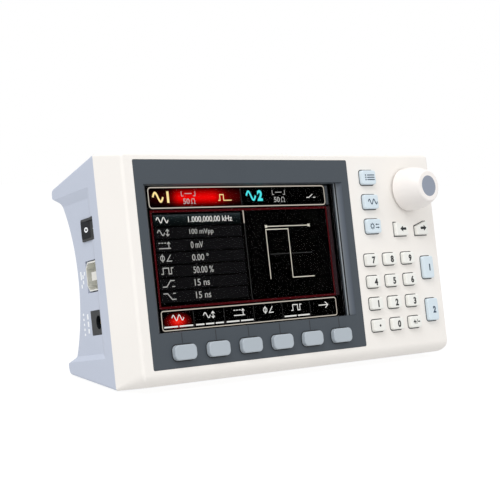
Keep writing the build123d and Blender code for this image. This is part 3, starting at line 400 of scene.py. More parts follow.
def draw_lines(mesh, runs, thick, x=0.0, y=0.0):
    """Draws the lines of a sign round a place."""
    for points, width, *closed in runs:
        strip(mesh, [(x + px, y + py) for px, py in points], width, thick, *closed)


def lines(*runs):
    """Drawing made of lines: each is its points, its width, and True if it closes."""
    return lambda mesh, thick: draw_lines(mesh, runs, thick)


def filled(points):
    """Drawing of a filled outline."""
    return lambda mesh, thick: area(mesh, points, thick)


print("ink", INK_THICK, "mm thick")

# %% [markdown]
# Printing ink is matt, and a pad print is a little uneven. A bump would be too fine to see, so
# a noise moves the roughness instead. The keys have black and slate ink, the rocker and the
# ports white, and the lines to the softkeys dark grey. The same matt stuff also makes the
# painted shade in gaps and seams and the painted highlight on the cover's edges.
# %% Printing inks
def ink(name, colour):
    """Printing ink: matt, with the slight unevenness of a pad print; also used for painted shade and painted
    highlights.
    """
    made, tree = new_material(name)
    place = add(tree, "ShaderNodeTexCoord").outputs["Object"]
    noise = add(tree, "ShaderNodeTexNoise", {"Vector": place, "Scale": 1 / (0.6 * MM)})
    gloss = add(tree, "ShaderNodeMapRange", {
        "Value": noise.outputs["Fac"], "To Min": 0.5, "To Max": 0.7,
    })
    finish_shader(tree, {"Base Color": linear(colour), "Roughness": gloss.outputs["Result"]})
    return made


black_ink = ink("black printing ink", "#15171B")
slate_ink = ink("slate printing ink", "#33485C")
line_ink = ink("dark line ink", "#24282D")
white_ink = ink("white printing ink", "#F6F9FC")
print("inks", [item.name for item in (black_ink, slate_ink, line_ink, white_ink)])

# %% [markdown]
# The white keys carry their digits in black, with a point and a plus-or-minus sign, and the
# two cut-cornered keys carry arrows. Digits and arrows stand a little right of the middle, as
# on the real keys. The digits are text, and the arrows are outlines, which fonts don't share.
# %% Signs of the white keys
SIGN_RIGHT = 0.45
DIGIT_TALL = 2.9
DIGIT_WEIGHT = 0.045


def digit(text):
    """Drawing of one digit on a key."""
    return lambda mesh, thick: word(
        mesh, text, SIGN_RIGHT, -0.15, None, DIGIT_TALL, thick, DIGIT_WEIGHT)


def arrow_sign(way):
    """Solid arrow that points left for -1 and right for 1."""
    points = ((-1.9, 0), (-0.2, 1.25), (-0.2, 0.52), (1.9, 0.52),
              (1.9, -0.52), (-0.2, -0.52), (-0.2, -1.25))
    return filled([(SIGN_RIGHT - way * x, y) for x, y in points])


point_sign = filled(ring(0, -0.1, 0.5, 0.5))
plus_minus_sign = lines(
    ([(-1.9, 0), (-0.3, 0)], 0.5), ([(-1.1, -0.8), (-1.1, -0.26)], 0.5),
    ([(-1.1, 0.26), (-1.1, 0.8)], 0.5), ([(-0.1, -1.0), (0.6, 1.0)], 0.3),
    ([(0.9, 0), (2.2, 0)], 0.5),
)
print("digits", DIGIT_TALL, "mm tall")

# %% [markdown]
# The pale blue keys carry small slate signs: a list for the mode, a wave for the wave menu,
# and a toothed wheel with two sliders for the settings. The waves are sampled from a sine, at
# enough places for their bends to look round.
# %% Signs of the pale blue keys
def mode_sign(mesh, thick):
    """Three short lines with a dot before each."""
    for step in (-1, 0, 1):
        area(mesh, ring(-2.2, step * 0.95, 0.34, 0.34, 14), thick)
        strip(mesh, [(-1.3, step * 0.95), (3.2, step * 0.95)], 0.42, thick)


def wave_points(x0, x1, height, turns=1.0, count=25):
    """Points of a sine wave between two places."""
    shares = [k / (count - 1) for k in range(count)]
    return [(x0 + (x1 - x0) * s, height * math.sin(2 * math.pi * turns * s)) for s in shares]


def settings_sign(mesh, thick):
    """Toothed wheel with two slider lines beside it."""
    strip(mesh, ring(-1.4, 0, 0.85, 0.85), 0.36, thick, closed=True)
    for k in range(8):
        angle = k * math.pi / 4
        spoke = [(-1.4 + r * math.cos(angle), r * math.sin(angle)) for r in (0.95, 1.4)]
        strip(mesh, spoke, 0.34, thick)
    for level, knob in ((0.65, 1.2), (-0.65, 2.1)):
        strip(mesh, [(0.6, level), (2.8, level)], 0.32, thick)
        area(mesh, ring(knob, level, 0.36, 0.36, 14), thick)


wave_sign = lines((wave_points(-2.3, 3.3, 1.0, 2.0, 41), 0.46))
print("points in a wave", len(wave_points(-2.3, 3.3, 1.0, 2.0, 41)))

# %% [markdown]
# Signs fixed to the panel would be simpler, but would stay behind when a key goes in. So each
# is laid on the top of its key, in the middle, and rides on the key's own body.
# %% Lay the signs on the keys
def key_sign(node, draw, material):
    """Lays a sign on the top of a key, at its middle."""
    low, high = extent(node)
    place = on_panel((low[0] + high[0]) / 2, low[1] - INK_LIFT, (low[2] + high[2]) / 2)
    artwork(node + "_sign", draw, place, material, node + "_body")


KEY_SIGNS = {"key_%d" % number: (digit(str(number)), black_ink) for number in range(10)}
KEY_SIGNS.update({
    "key_point": (point_sign, black_ink), "key_sign": (plus_minus_sign, black_ink),
    "arrow_left_key": (arrow_sign(-1), black_ink), "arrow_right_key": (arrow_sign(1), black_ink),
    "mode_key": (mode_sign, slate_ink), "wave_key": (wave_sign, slate_ink),
    "utility_key": (settings_sign, slate_ink),
    "channel_1_key": (digit("1"), slate_ink), "channel_2_key": (digit("2"), slate_ink),
})
for name, (draw, material) in KEY_SIGNS.items():
    key_sign(name, draw, material)
print("signs", len(KEY_SIGNS))

# %% [markdown]
# The lines that lead to the softkeys are alike and evenly spaced, and so are the rows and the
# dividers of the display. That is work for Geometry Nodes: a row of points, a bar on each, and
# named inputs for the count, the step, the size and the ink. One tree serves them all.
# %% Tree for a row of bars
def bar_tree():
    """Geometry Nodes tree that sets a bar on each point of an even row."""
    tree = bpy.data.node_groups.new("row of bars", "GeometryNodeTree")
    sockets = (("Count", "NodeSocketInt"), ("Step", "NodeSocketVector"),
               ("Size", "NodeSocketVector"), ("Ink", "NodeSocketMaterial"))
    tree.interface.new_socket("Geometry", in_out="OUTPUT", socket_type="NodeSocketGeometry")
    for label, kind in sockets:
        tree.interface.new_socket(label, in_out="INPUT", socket_type=kind)
    given = add(tree, "NodeGroupInput").outputs
    row = add(tree, "GeometryNodeMeshLine", {"Count": given["Count"], "Offset": given["Step"]})
    bar = add(tree, "GeometryNodeMeshCube", {"Size": given["Size"]})
    placed = add(tree, "GeometryNodeInstanceOnPoints", {
        "Points": row.outputs["Mesh"], "Instance": bar.outputs["Mesh"],
    })
    real = add(tree, "GeometryNodeRealizeInstances", {"Geometry": placed.outputs["Instances"]})
    inked = add(tree, "GeometryNodeSetMaterial", {
        "Geometry": real.outputs["Geometry"], "Material": given["Ink"],
    })
    add(tree, "NodeGroupOutput", {"Geometry": inked.outputs["Geometry"]})
    return tree


BARS = bar_tree()
print("inputs", [item.name for item in BARS.interface.items_tree if item.in_out == "INPUT"])

# %% [markdown]
# To make a row, the tree is run on an empty mesh, and its result is kept as a plain mesh. Then
# the modifier goes. A thin dark line leads from the display down to each softkey, to tie the
# key to its label: it starts just under the window and stops just over the key. The clear
# cover reaches out behind the bezel and each key has a flange behind the panel, so those
# margins come off what is measured on the model.
# %% Lines to the softkeys
def bar_row(name, count, step, size, place, material):
    """Plain mesh of evenly spaced bars, in millimetres on a drawing laid at a place."""
    holder = bpy.data.objects.new(name, bpy.data.meshes.new(name))
    bpy.context.scene.collection.objects.link(holder)
    modifier = holder.modifiers.new("bars", "NODES")
    modifier.node_group = BARS
    values = {"Count": count, "Step": step, "Size": size, "Ink": material}
    for item in BARS.interface.items_tree:
        if item.in_out == "INPUT":
            modifier[item.identifier] = values[item.name]
    ready = holder.evaluated_get(bpy.context.evaluated_depsgraph_get())
    mesh = bpy.data.meshes.new_from_object(ready)
    holder.modifiers.clear()
    holder.data = mesh
    mesh.transform(place @ Matrix.Scale(MM, 4))
    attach(holder, "housing")


KEY_FLANGE = 0.8
LENS_MARGIN = 0.9
LINE_STARTS = 0.5
LINE_STOPS = 0.6
FRONT = extent("display_bezel")[0][1]
lens_low, lens_high = extent("screen_lens")
first_low, first_high = extent("softkey_1")
key_step = extent("softkey_2")[0][0] - first_low[0]
line_top = lens_low[2] + LENS_MARGIN - LINE_STARTS
line_length = line_top - (first_high[2] - KEY_FLANGE) - LINE_STOPS
bar_row(
    "softkey_lines", 6, (key_step, 0, 0), (0.42, line_length, 0.04),
    on_panel((first_low[0] + first_high[0]) / 2, FRONT, line_top - line_length / 2),
    line_ink,
)
print("softkey step", round(key_step, 2), "line", round(line_length, 2))

# %% [markdown]
# The screen lies in a recess whose sides slope at 45 degrees, and catch more light at their
# foot. A lamp could do that, but not for both sides at once. So a thin film of painted highlight
# will lie on each slope, in place of that light. Its colour pales towards the foot, by the
# distance from the screen's middle.
# %% Painted highlight for the recess
RECESS = 2.2
WINDOW = (lens_high[0] - lens_low[0]) / 2 - LENS_MARGIN
WINDOW_TALL = lens_high[2] - lens_low[2] - 2 * LENS_MARGIN
SCREEN_X = (lens_low[0] + lens_high[0]) / 2
SCREEN_Z = (lens_low[2] + lens_high[2]) / 2


def set_stops(scale, stops):
    """Fills a colour ramp: each stop is a share of the way and a hex value."""
    while len(scale.elements) < len(stops):
        scale.elements.new(0.5)
    for element, (share, colour) in zip(scale.elements, stops):
        element.position = share
        element.color = linear(colour)


# Painted highlight: the film's colour pales towards the foot of each slope, where more light falls.
slope_painted_light, tree = new_material("painted highlight on the recess slopes")
place = add(tree, "ShaderNodeTexCoord").outputs["Object"]
across = add(tree, "ShaderNodeSeparateXYZ", {"Vector": place}).outputs["X"]
aside = add(tree, "ShaderNodeMath", {0: across, 1: SCREEN_X * MM}, operation="SUBTRACT")
away = add(tree, "ShaderNodeMath", {0: aside.outputs[0]}, operation="ABSOLUTE")
share = add(tree, "ShaderNodeMapRange", {
    "Value": away.outputs[0],
    "From Min": (WINDOW + 0.35) * MM, "From Max": (WINDOW + RECESS) * MM,
})
ramp = add(tree, "ShaderNodeValToRGB", {"Fac": share.outputs["Result"]})
set_stops(ramp.color_ramp, (
    (0.0, "#7A8087"), (0.2, "#6A7179"), (0.6, "#5B626C"), (1.0, "#495059"),
))
finish_shader(tree, {
    "Base Color": ramp.outputs["Color"], "Roughness": 0.5, "Specular IOR Level": 0.25,
})
print("window", round(2 * WINDOW, 2), "x", round(WINDOW_TALL, 2))

# %% [markdown]
# A film of painted highlight is one flat strip, laid on its slope a hair above the plastic. It
# stops short of the seam at the foot and of the edge at the top, where the moulding itself is seen.
# %% Sides of the screen's recess
SLOPE = RECESS * math.sqrt(2)
FOOT_GAP = 0.5
EDGE_GAP = 0.04
WALL_LIFT = 0.01


def slope_film(name, side, low, high):
    """Film of painted highlight on one side's slope, between two distances along it."""
    along = (ACROSS - INTO * side).normalized()
    start = SCREEN_X + (WINDOW if side > 0 else -WINDOW - RECESS)
    depth = FRONT + (RECESS if side > 0 else 0.0)
    lift = along.cross(UP) * WALL_LIFT * MM
    place = facing(Vector(panel_point(start, depth, SCREEN_Z)) + lift, along, UP)
    outline = box_outline(low, high, -WINDOW_TALL / 2, WINDOW_TALL / 2)
    artwork(name, filled(outline), place, slope_painted_light, "housing", 0.02)


# Painted highlight on both slopes of the recess.
slope_film("recess_slope_highlight_right", 1, FOOT_GAP, SLOPE - EDGE_GAP)
slope_film("recess_slope_highlight_left", -1, EDGE_GAP, SLOPE - FOOT_GAP)
print("slope", round(SLOPE, 2), "mm long")

# %% [markdown]
# At the foot of the slopes runs the seam beside the clear cover, dark with painted shade, and in
# front of the cover its polished edge shows as a fine pale line of painted highlight. Both come
# in pairs, left and right, and are made as rows of two bars.
# %% Painted shade in the seams and painted highlight on the cover's edges
SEAM = 0.36
# A painted highlight: the pale line of the cover's polished edge.
painted_edge_highlight = ink("painted highlight on the cover edge", "#B4BCC0")
# Painted shade, black, for the seams and for the gaps round the softkeys.
painted_shade_black = ink("shadow black", "#15181B")
# Painted shade in the seam at the foot of each slope.
bar_row(
    "recess_seam_shade", 2, (2 * WINDOW + SEAM, 0, 0), (SEAM, WINDOW_TALL, 0.4),
    on_panel(SCREEN_X - WINDOW - SEAM / 2, FRONT + RECESS - 0.2, SCREEN_Z),
    painted_shade_black,
)
# Painted highlight along each edge of the cover.
bar_row(
    "cover_edge_highlights", 2, (2 * WINDOW, 0, 0), (0.08, WINDOW_TALL, 0.6),
    on_panel(SCREEN_X - WINDOW, FRONT + RECESS + 0.32, SCREEN_Z), painted_edge_highlight,
)
print("seam", SEAM, "mm wide")

# %% [markdown]
# Each key stands in a hole with a narrow gap round it, and the gap is dark because it opens
# into the unlit inside. A thin dark strip of painted shade lies in the gap, level with the panel.
# It keeps clear of the key, which slides through it, and stays on the housing. Its corners follow
# the key's: round on most, and cut off on the two arrow keys.
# %% Painted shade in the gaps round the keys
GAP_WIDTH = 0.38
GAP_CLEAR = 0.05
KEY_CORNERS = {"softkey": 1.9, "function": 1.0, "key": 0.9}
CUT_ACROSS, CUT_DOWN = 1.5, 1.9
grey_shadow = ink("shadow grey", "#3E3F42")


def gap_outline(node):
    """Line in the middle of the gap round a key."""
    low, high = extent(node)
    out = GAP_CLEAR + GAP_WIDTH / 2
    x0, x1 = low[0] + KEY_FLANGE - out, high[0] - KEY_FLANGE + out
    z0, z1 = low[2] + KEY_FLANGE - out, high[2] - KEY_FLANGE + out
    if node == "arrow_left_key":
        return [(x0, z0), (x1, z0), (x1, z1 - CUT_DOWN), (x0 + CUT_ACROSS, z1), (x0, z1)]
    if node == "arrow_right_key":
        return [(x0, z0), (x1, z0), (x1, z1), (x1 - CUT_ACROSS, z1), (x0, z1 - CUT_DOWN)]
    kind = "function" if node in BLUE_KEYS else "key" if node in KEY_SIGNS else "softkey"
    return box_outline(x0, x1, z0, z1, KEY_CORNERS[kind] + out)


def gap_liners(name, nodes, material, front):
    """Painted shade round a group of keys, in one piece on the housing."""
    runs = [(gap_outline(node), GAP_WIDTH, True) for node in nodes]
    artwork(name, lines(*runs), on_panel(0, front - INK_LIFT, 0), material, "housing")
    print(name, len(runs))


PAD = [name for name in frame["nodes"] if name in KEY_SIGNS]
SOFT = [name for name in frame["nodes"] if name.startswith("softkey")]
# Painted shade in the gaps: grey round the white and pale blue keys, black round the softkeys.
gap_liners("key_gaps", PAD, grey_shadow, panel_low[1])
gap_liners("softkey_gap_shade", SOFT, painted_shade_black, FRONT)

# %% [markdown]
# The display is a lit panel behind the clear cover. Its picture is drawn as thin layers just
# in front of the black glass. An emission of the layer's own colour makes it look the same in
# any light, and its base is black, so that no lamp adds to it.
# %% Lit material and display layers
GLASS = extent("lcd_panel")[0][1]
LAYER_THICK = 0.02
LAYER_STEP = 0.05


def glow(tree, colour):
    """Shader that only glows."""
    finish_shader(tree, {
        "Base Color": linear("#000000"), "Specular IOR Level": 0.0,
        "Emission Color": colour, "Emission Strength": 1.0,
    })


def lit(name, colour):
    """Lit part of the display in one colour."""
    made, tree = new_material(name)
    glow(tree, linear(colour))
    return made


def on_screen(x, z, depth):
    """Matrix that lays a drawing on the display, by the distance from its middle."""
    return on_panel(SCREEN_X + x, depth, SCREEN_Z + z)


def screen_art(name, draw, material, level):
    """One layer of the picture: level 0 touches the glass, higher ones lie in front."""
    place = on_screen(0, 0, GLASS - LAYER_THICK - LAYER_STEP * level)
    artwork("display_" + name, draw, place, material, "housing", LAYER_THICK)


print("display middle", round(SCREEN_X, 2), round(SCREEN_Z, 2), "depth", round(GLASS, 2))

# %% [markdown]
# Some parts of the picture fade: the red bar of the channel in use, the label that is picked
# and the first row of the table. A gradient texture is laid on the display by its middle, its
# size in millimetres and the panel's lean, and a ramp gives the colours. The red bar fades
# both ways, so it is the product of two gradients.
# %% Fades on the display
def ramp_along(tree, kind, centre, size, turn, stops):
    """Colour that runs along a gradient, set out in millimetres on the display."""
    x, z = centre
    place = add(tree, "ShaderNodeTexCoord").outputs["Object"]
    laid = add(tree, "ShaderNodeMapping", {
        "Vector": place, "Location": panel_point(SCREEN_X + x, GLASS, SCREEN_Z + z),
        "Rotation": (-LEAN, turn, 0), "Scale": [side * MM for side in size],
    }, vector_type="TEXTURE")
    fade = add(tree, "ShaderNodeTexGradient", {
        "Vector": laid.outputs["Vector"],
    }, gradient_type=kind)
    ramp = add(tree, "ShaderNodeValToRGB", {"Fac": fade.outputs["Fac"]})
    set_stops(ramp.color_ramp, stops)
    return ramp.outputs["Color"]


def lit_fade(name, *runs):
    """Lit part whose colour runs along one gradient, or along the product of two."""
    made, tree = new_material(name)
    colour = ramp_along(tree, *runs[0])
    for run in runs[1:]:
        colour = add(tree, "ShaderNodeMix", {
            "Factor": 1.0, "A": colour, "B": ramp_along(tree, *run),
        }, data_type="RGBA", blend_type="MULTIPLY").outputs["Result"]
    glow(tree, colour)
    return made


UPWARD = -math.pi / 2
first_row = lit_fade("lit first row", ("LINEAR", (0, 12.2), (4.6, 4.6, 4.6), UPWARD, (
    (0.0, "#060808"), (0.35, "#0A1010"), (0.7, "#172021"), (0.92, "#303638"), (1.0, "#404244"),
)))
red_bar = lit_fade("lit red bar", ("LINEAR", (-47.0, 0), (47.0, 47.0, 47.0), 0, (
    (0.0, "#100000"), (0.17, "#2C0101"), (0.24, "#6C0202"), (0.31, "#E80404"), (0.69, "#EA0404"),
    (0.76, "#A00303"), (0.85, "#560202"), (1.0, "#260101"),
)), ("LINEAR", (0, 19.2), (7.1, 7.1, 7.1), UPWARD, (
    (0.0, "#1A1A1A"), (0.12, "#626262"), (0.25, "#BABABA"), (0.4, "#F8F8F8"), (0.5, "#FFFFFF"),
    (0.62, "#ECECEC"), (0.75, "#C0C0C0"), (0.88, "#767676"), (1.0, "#202020"),
)))
red_glow = lit_fade("lit red glow", ("SPHERICAL", (-39.2, -23.3), (7.2, 5.0, 3.5), 0, (
    (0.0, "#010000"), (0.35, "#5A0505"), (0.65, "#C8100B"), (1.0, "#FA3020"),
)))
print("fades", first_row.name, red_bar.name, red_glow.name)

# %% [markdown]
# The other parts of the picture have one colour each: cream lines, grey and white text,
# yellow for the first channel and cyan for the second. They are a little duller than on a
# real screen, whose glow a plain picture can't hold.
# %% Plain colours of the display
pale_line = lit("lit cream line", "#BDB6AA")
grey_text = lit("lit grey text", "#A9A9A6")
white_text = lit("lit white text", "#E2E2DE")
yellow_text = lit("lit yellow text", "#FFE39A")
cyan_text = lit("lit cyan text", "#4FE3E6")
border_red = lit("lit border, reddish", "#2B2124")
border_grey = lit("lit border, grey", "#3C4044")
red_frame = lit("lit dark red frame", "#430C10")
dim_row = lit("lit dim row", "#0E0E0F")
dim_line = lit("lit dim line", "#303030")
trace = lit("lit trace", "#DEDACB")
print("lit materials", len([item for item in bpy.data.materials if item.name.startswith("lit")]))

# %% [markdown]
# Distances on the display are from the middle of its lit area, which is a little over 95 mm
# wide and 54 mm high. The back layers come first: red bar and glow, the rounded boxes round
# channels and labels, and the dark red frame round table and graph. The seven rows of the
# table and the six cells at the foot repeat evenly, so the tree for rows of bars makes them.
# %% Boxes, rows and cells
for layer in (
    ("red_bar", filled(box_outline(-46.8, -0.6, 19.3, 26.2, 1.0)), red_bar, 0),
    ("red_glow", filled(box_outline(-46.4, -31.6, -25.9, -19.6)), red_glow, 0),
    ("top_box", lines((box_outline(-47.2, 46.9, 18.9, 26.6, 1.3), 0.42, True)), pale_line, 1),
    ("red_frame", lines((box_outline(-46.9, 46.9, -18.0, 17.7), 0.8, True)), red_frame, 0),
    ("bottom_box", lines((box_outline(-46.9, 46.7, -26.4, -19.2, 1.0), 0.38, True)), pale_line, 1),
):
    screen_art(*layer)

ROW_STEP = -4.73
ROWS = [14.3 + ROW_STEP * k for k in range(7)]
ROW_X, ROW_WIDE = -23.8, 44.2
CELL_STEP = 15.65
CELLS = [-46.9 + CELL_STEP * k for k in range(6)]
bar_row(
    "display_first_row", 1, (0, 0, 0), (ROW_WIDE, 4.2, LAYER_THICK),
    on_screen(ROW_X, ROWS[0], GLASS - LAYER_THICK), first_row,
)
bar_row(
    "display_rows", 6, (0, ROW_STEP, 0), (ROW_WIDE, 4.1, LAYER_THICK),
    on_screen(ROW_X, ROWS[1], GLASS - LAYER_THICK), dim_row,
)
bar_row(
    "display_dividers", 5, (CELL_STEP, 0, 0), (0.22, 6.7, LAYER_THICK),
    on_screen(CELLS[1], -22.8, GLASS - 0.03), dim_line,
)
print("rows", len(ROWS), "cells", len(CELLS))

# %% [markdown]
# The graph shows one pulse, with a line over it that marks its width and ends in two small
# crosses. The box of each channel has its number beside a wave, a level bar with its limits
# and the load in ohms. The first channel also has a small pulse, and the second an open
# switch, because it is off.
# %% Graph and channel boxes
def cross(x, y, arm=0.55):
    """Two strokes of a small cross."""
    return (([(x - arm, y + arm), (x + arm, y - arm)], 0.4),
            ([(x - arm, y - arm), (x + arm, y + arm)], 0.4))


trace_lines = lines(
    ([(11.2, -10.0), (11.2, 9.5), (23.6, 9.5), (23.6, -9.9), (36.0, -9.9)], 0.32),
    ([(11.4, 10.7), (35.9, 10.7)], 0.3), *cross(11.5, 10.7), *cross(35.7, 10.7),
)
pulse_sign = lines((
    [(-12.4, 21.4), (-11.5, 21.4), (-11.5, 23.6), (-9.6, 23.6), (-9.6, 21.4), (-5.4, 21.4)], 0.34,
))
off_sign = lines(
    ([(36.2, 21.9), (37.6, 21.9)], 0.3), ([(37.6, 21.9), (39.8, 23.2)], 0.3),
    ([(40.0, 21.9), (41.4, 21.9)], 0.3),
)
LEVEL_BAR = (
    ([(0, 25.1), (0, 23.3), (1.0, 23.3)], 0.26), ([(1.7, 24.2), (5.2, 24.2)], 0.26),
    ([(6.9, 25.1), (6.9, 23.3), (5.9, 23.3)], 0.26),
)
OMEGA = (([(4.4, 20.4), (5.1, 20.4), (4.7, 21.3), (5.1, 22.2), (6.1, 22.2), (6.5, 21.3),
           (6.1, 20.4), (6.8, 20.4)], 0.26),)


def load_signs(x):
    """Level bar with its limits, and the load in ohms under it."""
    def draw(mesh, thick):
        draw_lines(mesh, LEVEL_BAR, thick, x)
        word(mesh, "50", x + 2.2, 21.3, 3.2, 2.1, thick)
        draw_lines(mesh, OMEGA, thick, x)
    return draw


def channel_word(number, x):
    """Channel's number beside a wave."""
    def draw(mesh, thick):
        draw_lines(mesh, ((wave_points(x, x + 5.0, 1.7), 0.8),), thick, 0.0, 23.0)
        word(mesh, number, x + 7.4, 23.0, None, 4.3, thick, 0.05)
    return draw


print("points in the omega", len(OMEGA[0][0]))

# %% [markdown]
# Each row of the table has a value with its unit. Numbers and units are generic, so they are
# written out, and each is fitted to its width so that the column stays even.
# %% Values of the table
VALUE_X = -28.9
VALUES = (
    ("1.000,000,00 kHz", 22.6), ("100 mVpp", 12.2), ("0 mV", 6.2), ("0.00 °", 8.4),
    ("50.00 %", 10.2), ("15 ns", 7.6), ("15 ns", 7.6),
)


def values(first, last):
    """Numbers of some rows of the table."""
    def draw(mesh, thick):
        for (text, width), level in zip(VALUES[first:last], ROWS[first:last]):
            word(mesh, text, VALUE_X + width / 2, level, width, 2.5, thick, 0.004)
    return draw


print("values", [text for text, width in VALUES])

# %% [markdown]
# The words of the real menu are left out, and a small sign that says the same stands in each
# one's place: frequency, height, offset, phase, duty, rising edge and falling edge, and an
# arrow to the next page. Each is a few lines round its own middle, in millimetres.
# %% Signs of the menu
FREQUENCY = ((wave_points(-2.9, 2.9, 1.0, 2.0, 33), 0.36),)
HEIGHT = (
    (wave_points(-2.9, 0.6, 1.0), 0.36), ([(2.0, -1.2), (2.0, 1.2)], 0.34),
    ([(1.2, -0.5), (2.0, -1.2), (2.8, -0.5)], 0.34), ([(1.2, 0.5), (2.0, 1.2), (2.8, 0.5)], 0.34),
)
OFFSET = (
    ([(-2.9, -1.1), (2.9, -1.1)], 0.34), ([(-2.9, 0.9), (-2.0, 0.9)], 0.34),
    ([(-1.5, 0.9), (-0.6, 0.9)], 0.34), ([(-0.1, 0.9), (0.8, 0.9)], 0.34),
    ([(2.0, -1.0), (2.0, 1.2)], 0.34), ([(1.3, 0.5), (2.0, 1.2), (2.7, 0.5)], 0.34),
)
PHASE = (
    (ring(-1.7, 0, 0.95, 0.95, 20), 0.34, True), ([(-1.7, -1.5), (-1.7, 1.5)], 0.32),
    ([(2.8, -1.1), (0.4, -1.1), (2.3, 1.2)], 0.34),
)
DUTY = (([(-3.0, -1.1), (-2.0, -1.1), (-2.0, 1.1), (0.7, 1.1), (0.7, -1.1), (2.0, -1.1),
          (2.0, 1.1), (3.0, 1.1)], 0.36),)
RISE = (
    ([(-3.0, -1.1), (-1.0, -1.1), (1.0, 1.1), (3.0, 1.1)], 0.36), ([(1.6, -1.1), (3.0, -1.1)], 0.3),
)
FALL = tuple(([(x, -y) for x, y in points], width) for points, width in RISE)
NEXT_PAGE = (([(-2.8, 0), (2.4, 0)], 0.36), ([(1.0, 1.2), (2.6, 0), (1.0, -1.2)], 0.36))
TABLE_SIGNS = (FREQUENCY, HEIGHT, OFFSET, PHASE, DUTY, RISE, FALL)
CELL_SIGNS = TABLE_SIGNS[:5] + (NEXT_PAGE,)
print("signs in the table", len(TABLE_SIGNS), "over the softkeys", len(CELL_SIGNS))

# %% [markdown]
# The signs head the rows of the table, and stand again over the softkeys. There, short dashes
# at the foot of a label say how many pages it has: they share the cell's width evenly.
# %% Place the signs of the menu
ROW_SIGN_X, ROW_SIGN_RISE = -41.8, 0.15
CELL_SIGN_X, CELL_SIGN_Z = 7.8, -21.9
DASHES = {0: 2, 1: 3, 2: 2, 4: 2}
DASH_GAP, DASH_ROOM, DASH_Z = 0.8, 14.2, -25.15


def table_labels(first, last):
    """Signs at the head of some rows of the table."""
    def draw(mesh, thick):
        for row in range(first, last):
            draw_lines(mesh, TABLE_SIGNS[row], thick, ROW_SIGN_X, ROWS[row] + ROW_SIGN_RISE)
    return draw


def cell_labels(mesh, thick):
    """Signs over the softkeys."""
    for left, sign in zip(CELLS, CELL_SIGNS):
        draw_lines(mesh, sign, thick, left + CELL_SIGN_X, CELL_SIGN_Z)


def cell_dashes(mesh, thick):
    """Page marks at the foot of some labels."""
    for cell, count in DASHES.items():
        length = (DASH_ROOM - DASH_GAP * (count - 1)) / count
        for k in range(count):
            start = CELLS[cell] + 0.75 + k * (length + DASH_GAP)
            strip(mesh, [(start, DASH_Z), (start + length, DASH_Z)], 0.55, thick)


print("pages marked", sum(DASHES.values()))

# %% [markdown]
# The rest of the layers, from the back to the front. Text lies in front of the lines, and the
# lines in front of the bars, each a twentieth of a millimetre apart, so that no two surfaces
# share a place.
# %% Front layers of the display
for layer in (
    ("channel_divider", lines(([(-0.2, 19.2), (-0.2, 26.3)], 0.3)), dim_line, 1),
    ("table_divider", lines(([(0, -17.4), (0, 12.4)], 0.3)), dim_line, 1),
    ("table_divider_top", lines(([(0, 12.4), (0, 17.3)], 0.5)), pale_line, 1),
    ("zero_line", lines(([(12.2, -0.3), (36.0, -0.3)], 0.36)), dim_line, 1),
    ("trace", trace_lines, trace, 2),
    ("pulse", pulse_sign, yellow_text, 2),
    ("channel_1", channel_word("1", -45.2), yellow_text, 2),
    ("channel_2", channel_word("2", 2.6), cyan_text, 2),
    ("load_1", load_signs(-31.0), grey_text, 2),
    ("load_2", load_signs(17.0), grey_text, 2),
    ("off", off_sign, white_text, 2),
    ("first_value", values(0, 1), white_text, 2),
    ("values", values(1, 7), grey_text, 2),
    ("first_label", table_labels(0, 1), white_text, 2),
    ("labels", table_labels(1, 7), grey_text, 2),
    ("cells", cell_labels, white_text, 2),
    ("border_side", filled(box_outline(47.4, 49.3, -18.4, 18.1)), border_red, 0),
    ("border_top", filled(box_outline(47.4, 49.0, 18.9, 26.6)), border_grey, 0),
    ("dashes", cell_dashes, white_text, 2),
):
    screen_art(*layer)

# %% [markdown]
# The rocker switch carries its two usual signs, a ring for off and a bar for on. Its halves
# slope, so each sign is laid on the half that it belongs to: the mean of that half's outward
# faces gives the place and the way that it faces. Both ride on the rocker.
# %% Signs on the rocker
def half_face(node, toward):
    """Middle and direction of the outward face on one half of the rocker."""
    pivot = Vector(joints["power_rocker_tilt"]["pos_m"])
    total, normal, middle = 0.0, Vector(), Vector()
    for polygon in frame["nodes"][node].data.polygons:
        forward = (polygon.center - pivot).dot(FORWARD) * toward
        if polygon.normal.dot(OUT_LEFT) > 0.85 and forward > 0:
            total += polygon.area
            normal += polygon.normal * polygon.area
            middle += polygon.center * polygon.area
    return middle / total, normal.normalized()


def side_matrix(middle, normal):
    """Matrix of a drawing on the side wall: its x runs forward."""
    along = UP.cross(normal).normalized()
    return facing(middle + normal * WALL_LIFT * MM, along, normal.cross(along))


for name, toward, draw in (
    ("rocker_ring", -1, lines((ring(0.2, 0, 0.78, 0.74), 0.5, True))),
    ("rocker_bar", 1, lines(([(0.1, 0), (1.5, 0)], 0.42))),
):
    place = side_matrix(*half_face("power_rocker", toward))
    artwork(name, draw, place, white_ink, "power_rocker_body")
    print(name, [round(value, 4) for value in place.translation])

# %% [markdown]
# Small dashes mark the data socket and the power jack, in the place of the words that stand
# there on a real instrument. They are printed on the side wall, to the rear of each port, and
# so their places are counted back from the port's own place.
# %% Marks at the ports
def port_marks(name, mount, rows):
    """Dashes beside a port: each row is its place back, its width and its dashes."""
    runs = [([(-back, low), (-back, high)], width)
            for back, width, dashes in rows for low, high in dashes]
    place = side_matrix(Vector(mounts[mount]["pos_m"]), OUT_LEFT)
    artwork(name, lines(*runs), place, white_ink, "housing")
    print(name, len(runs))


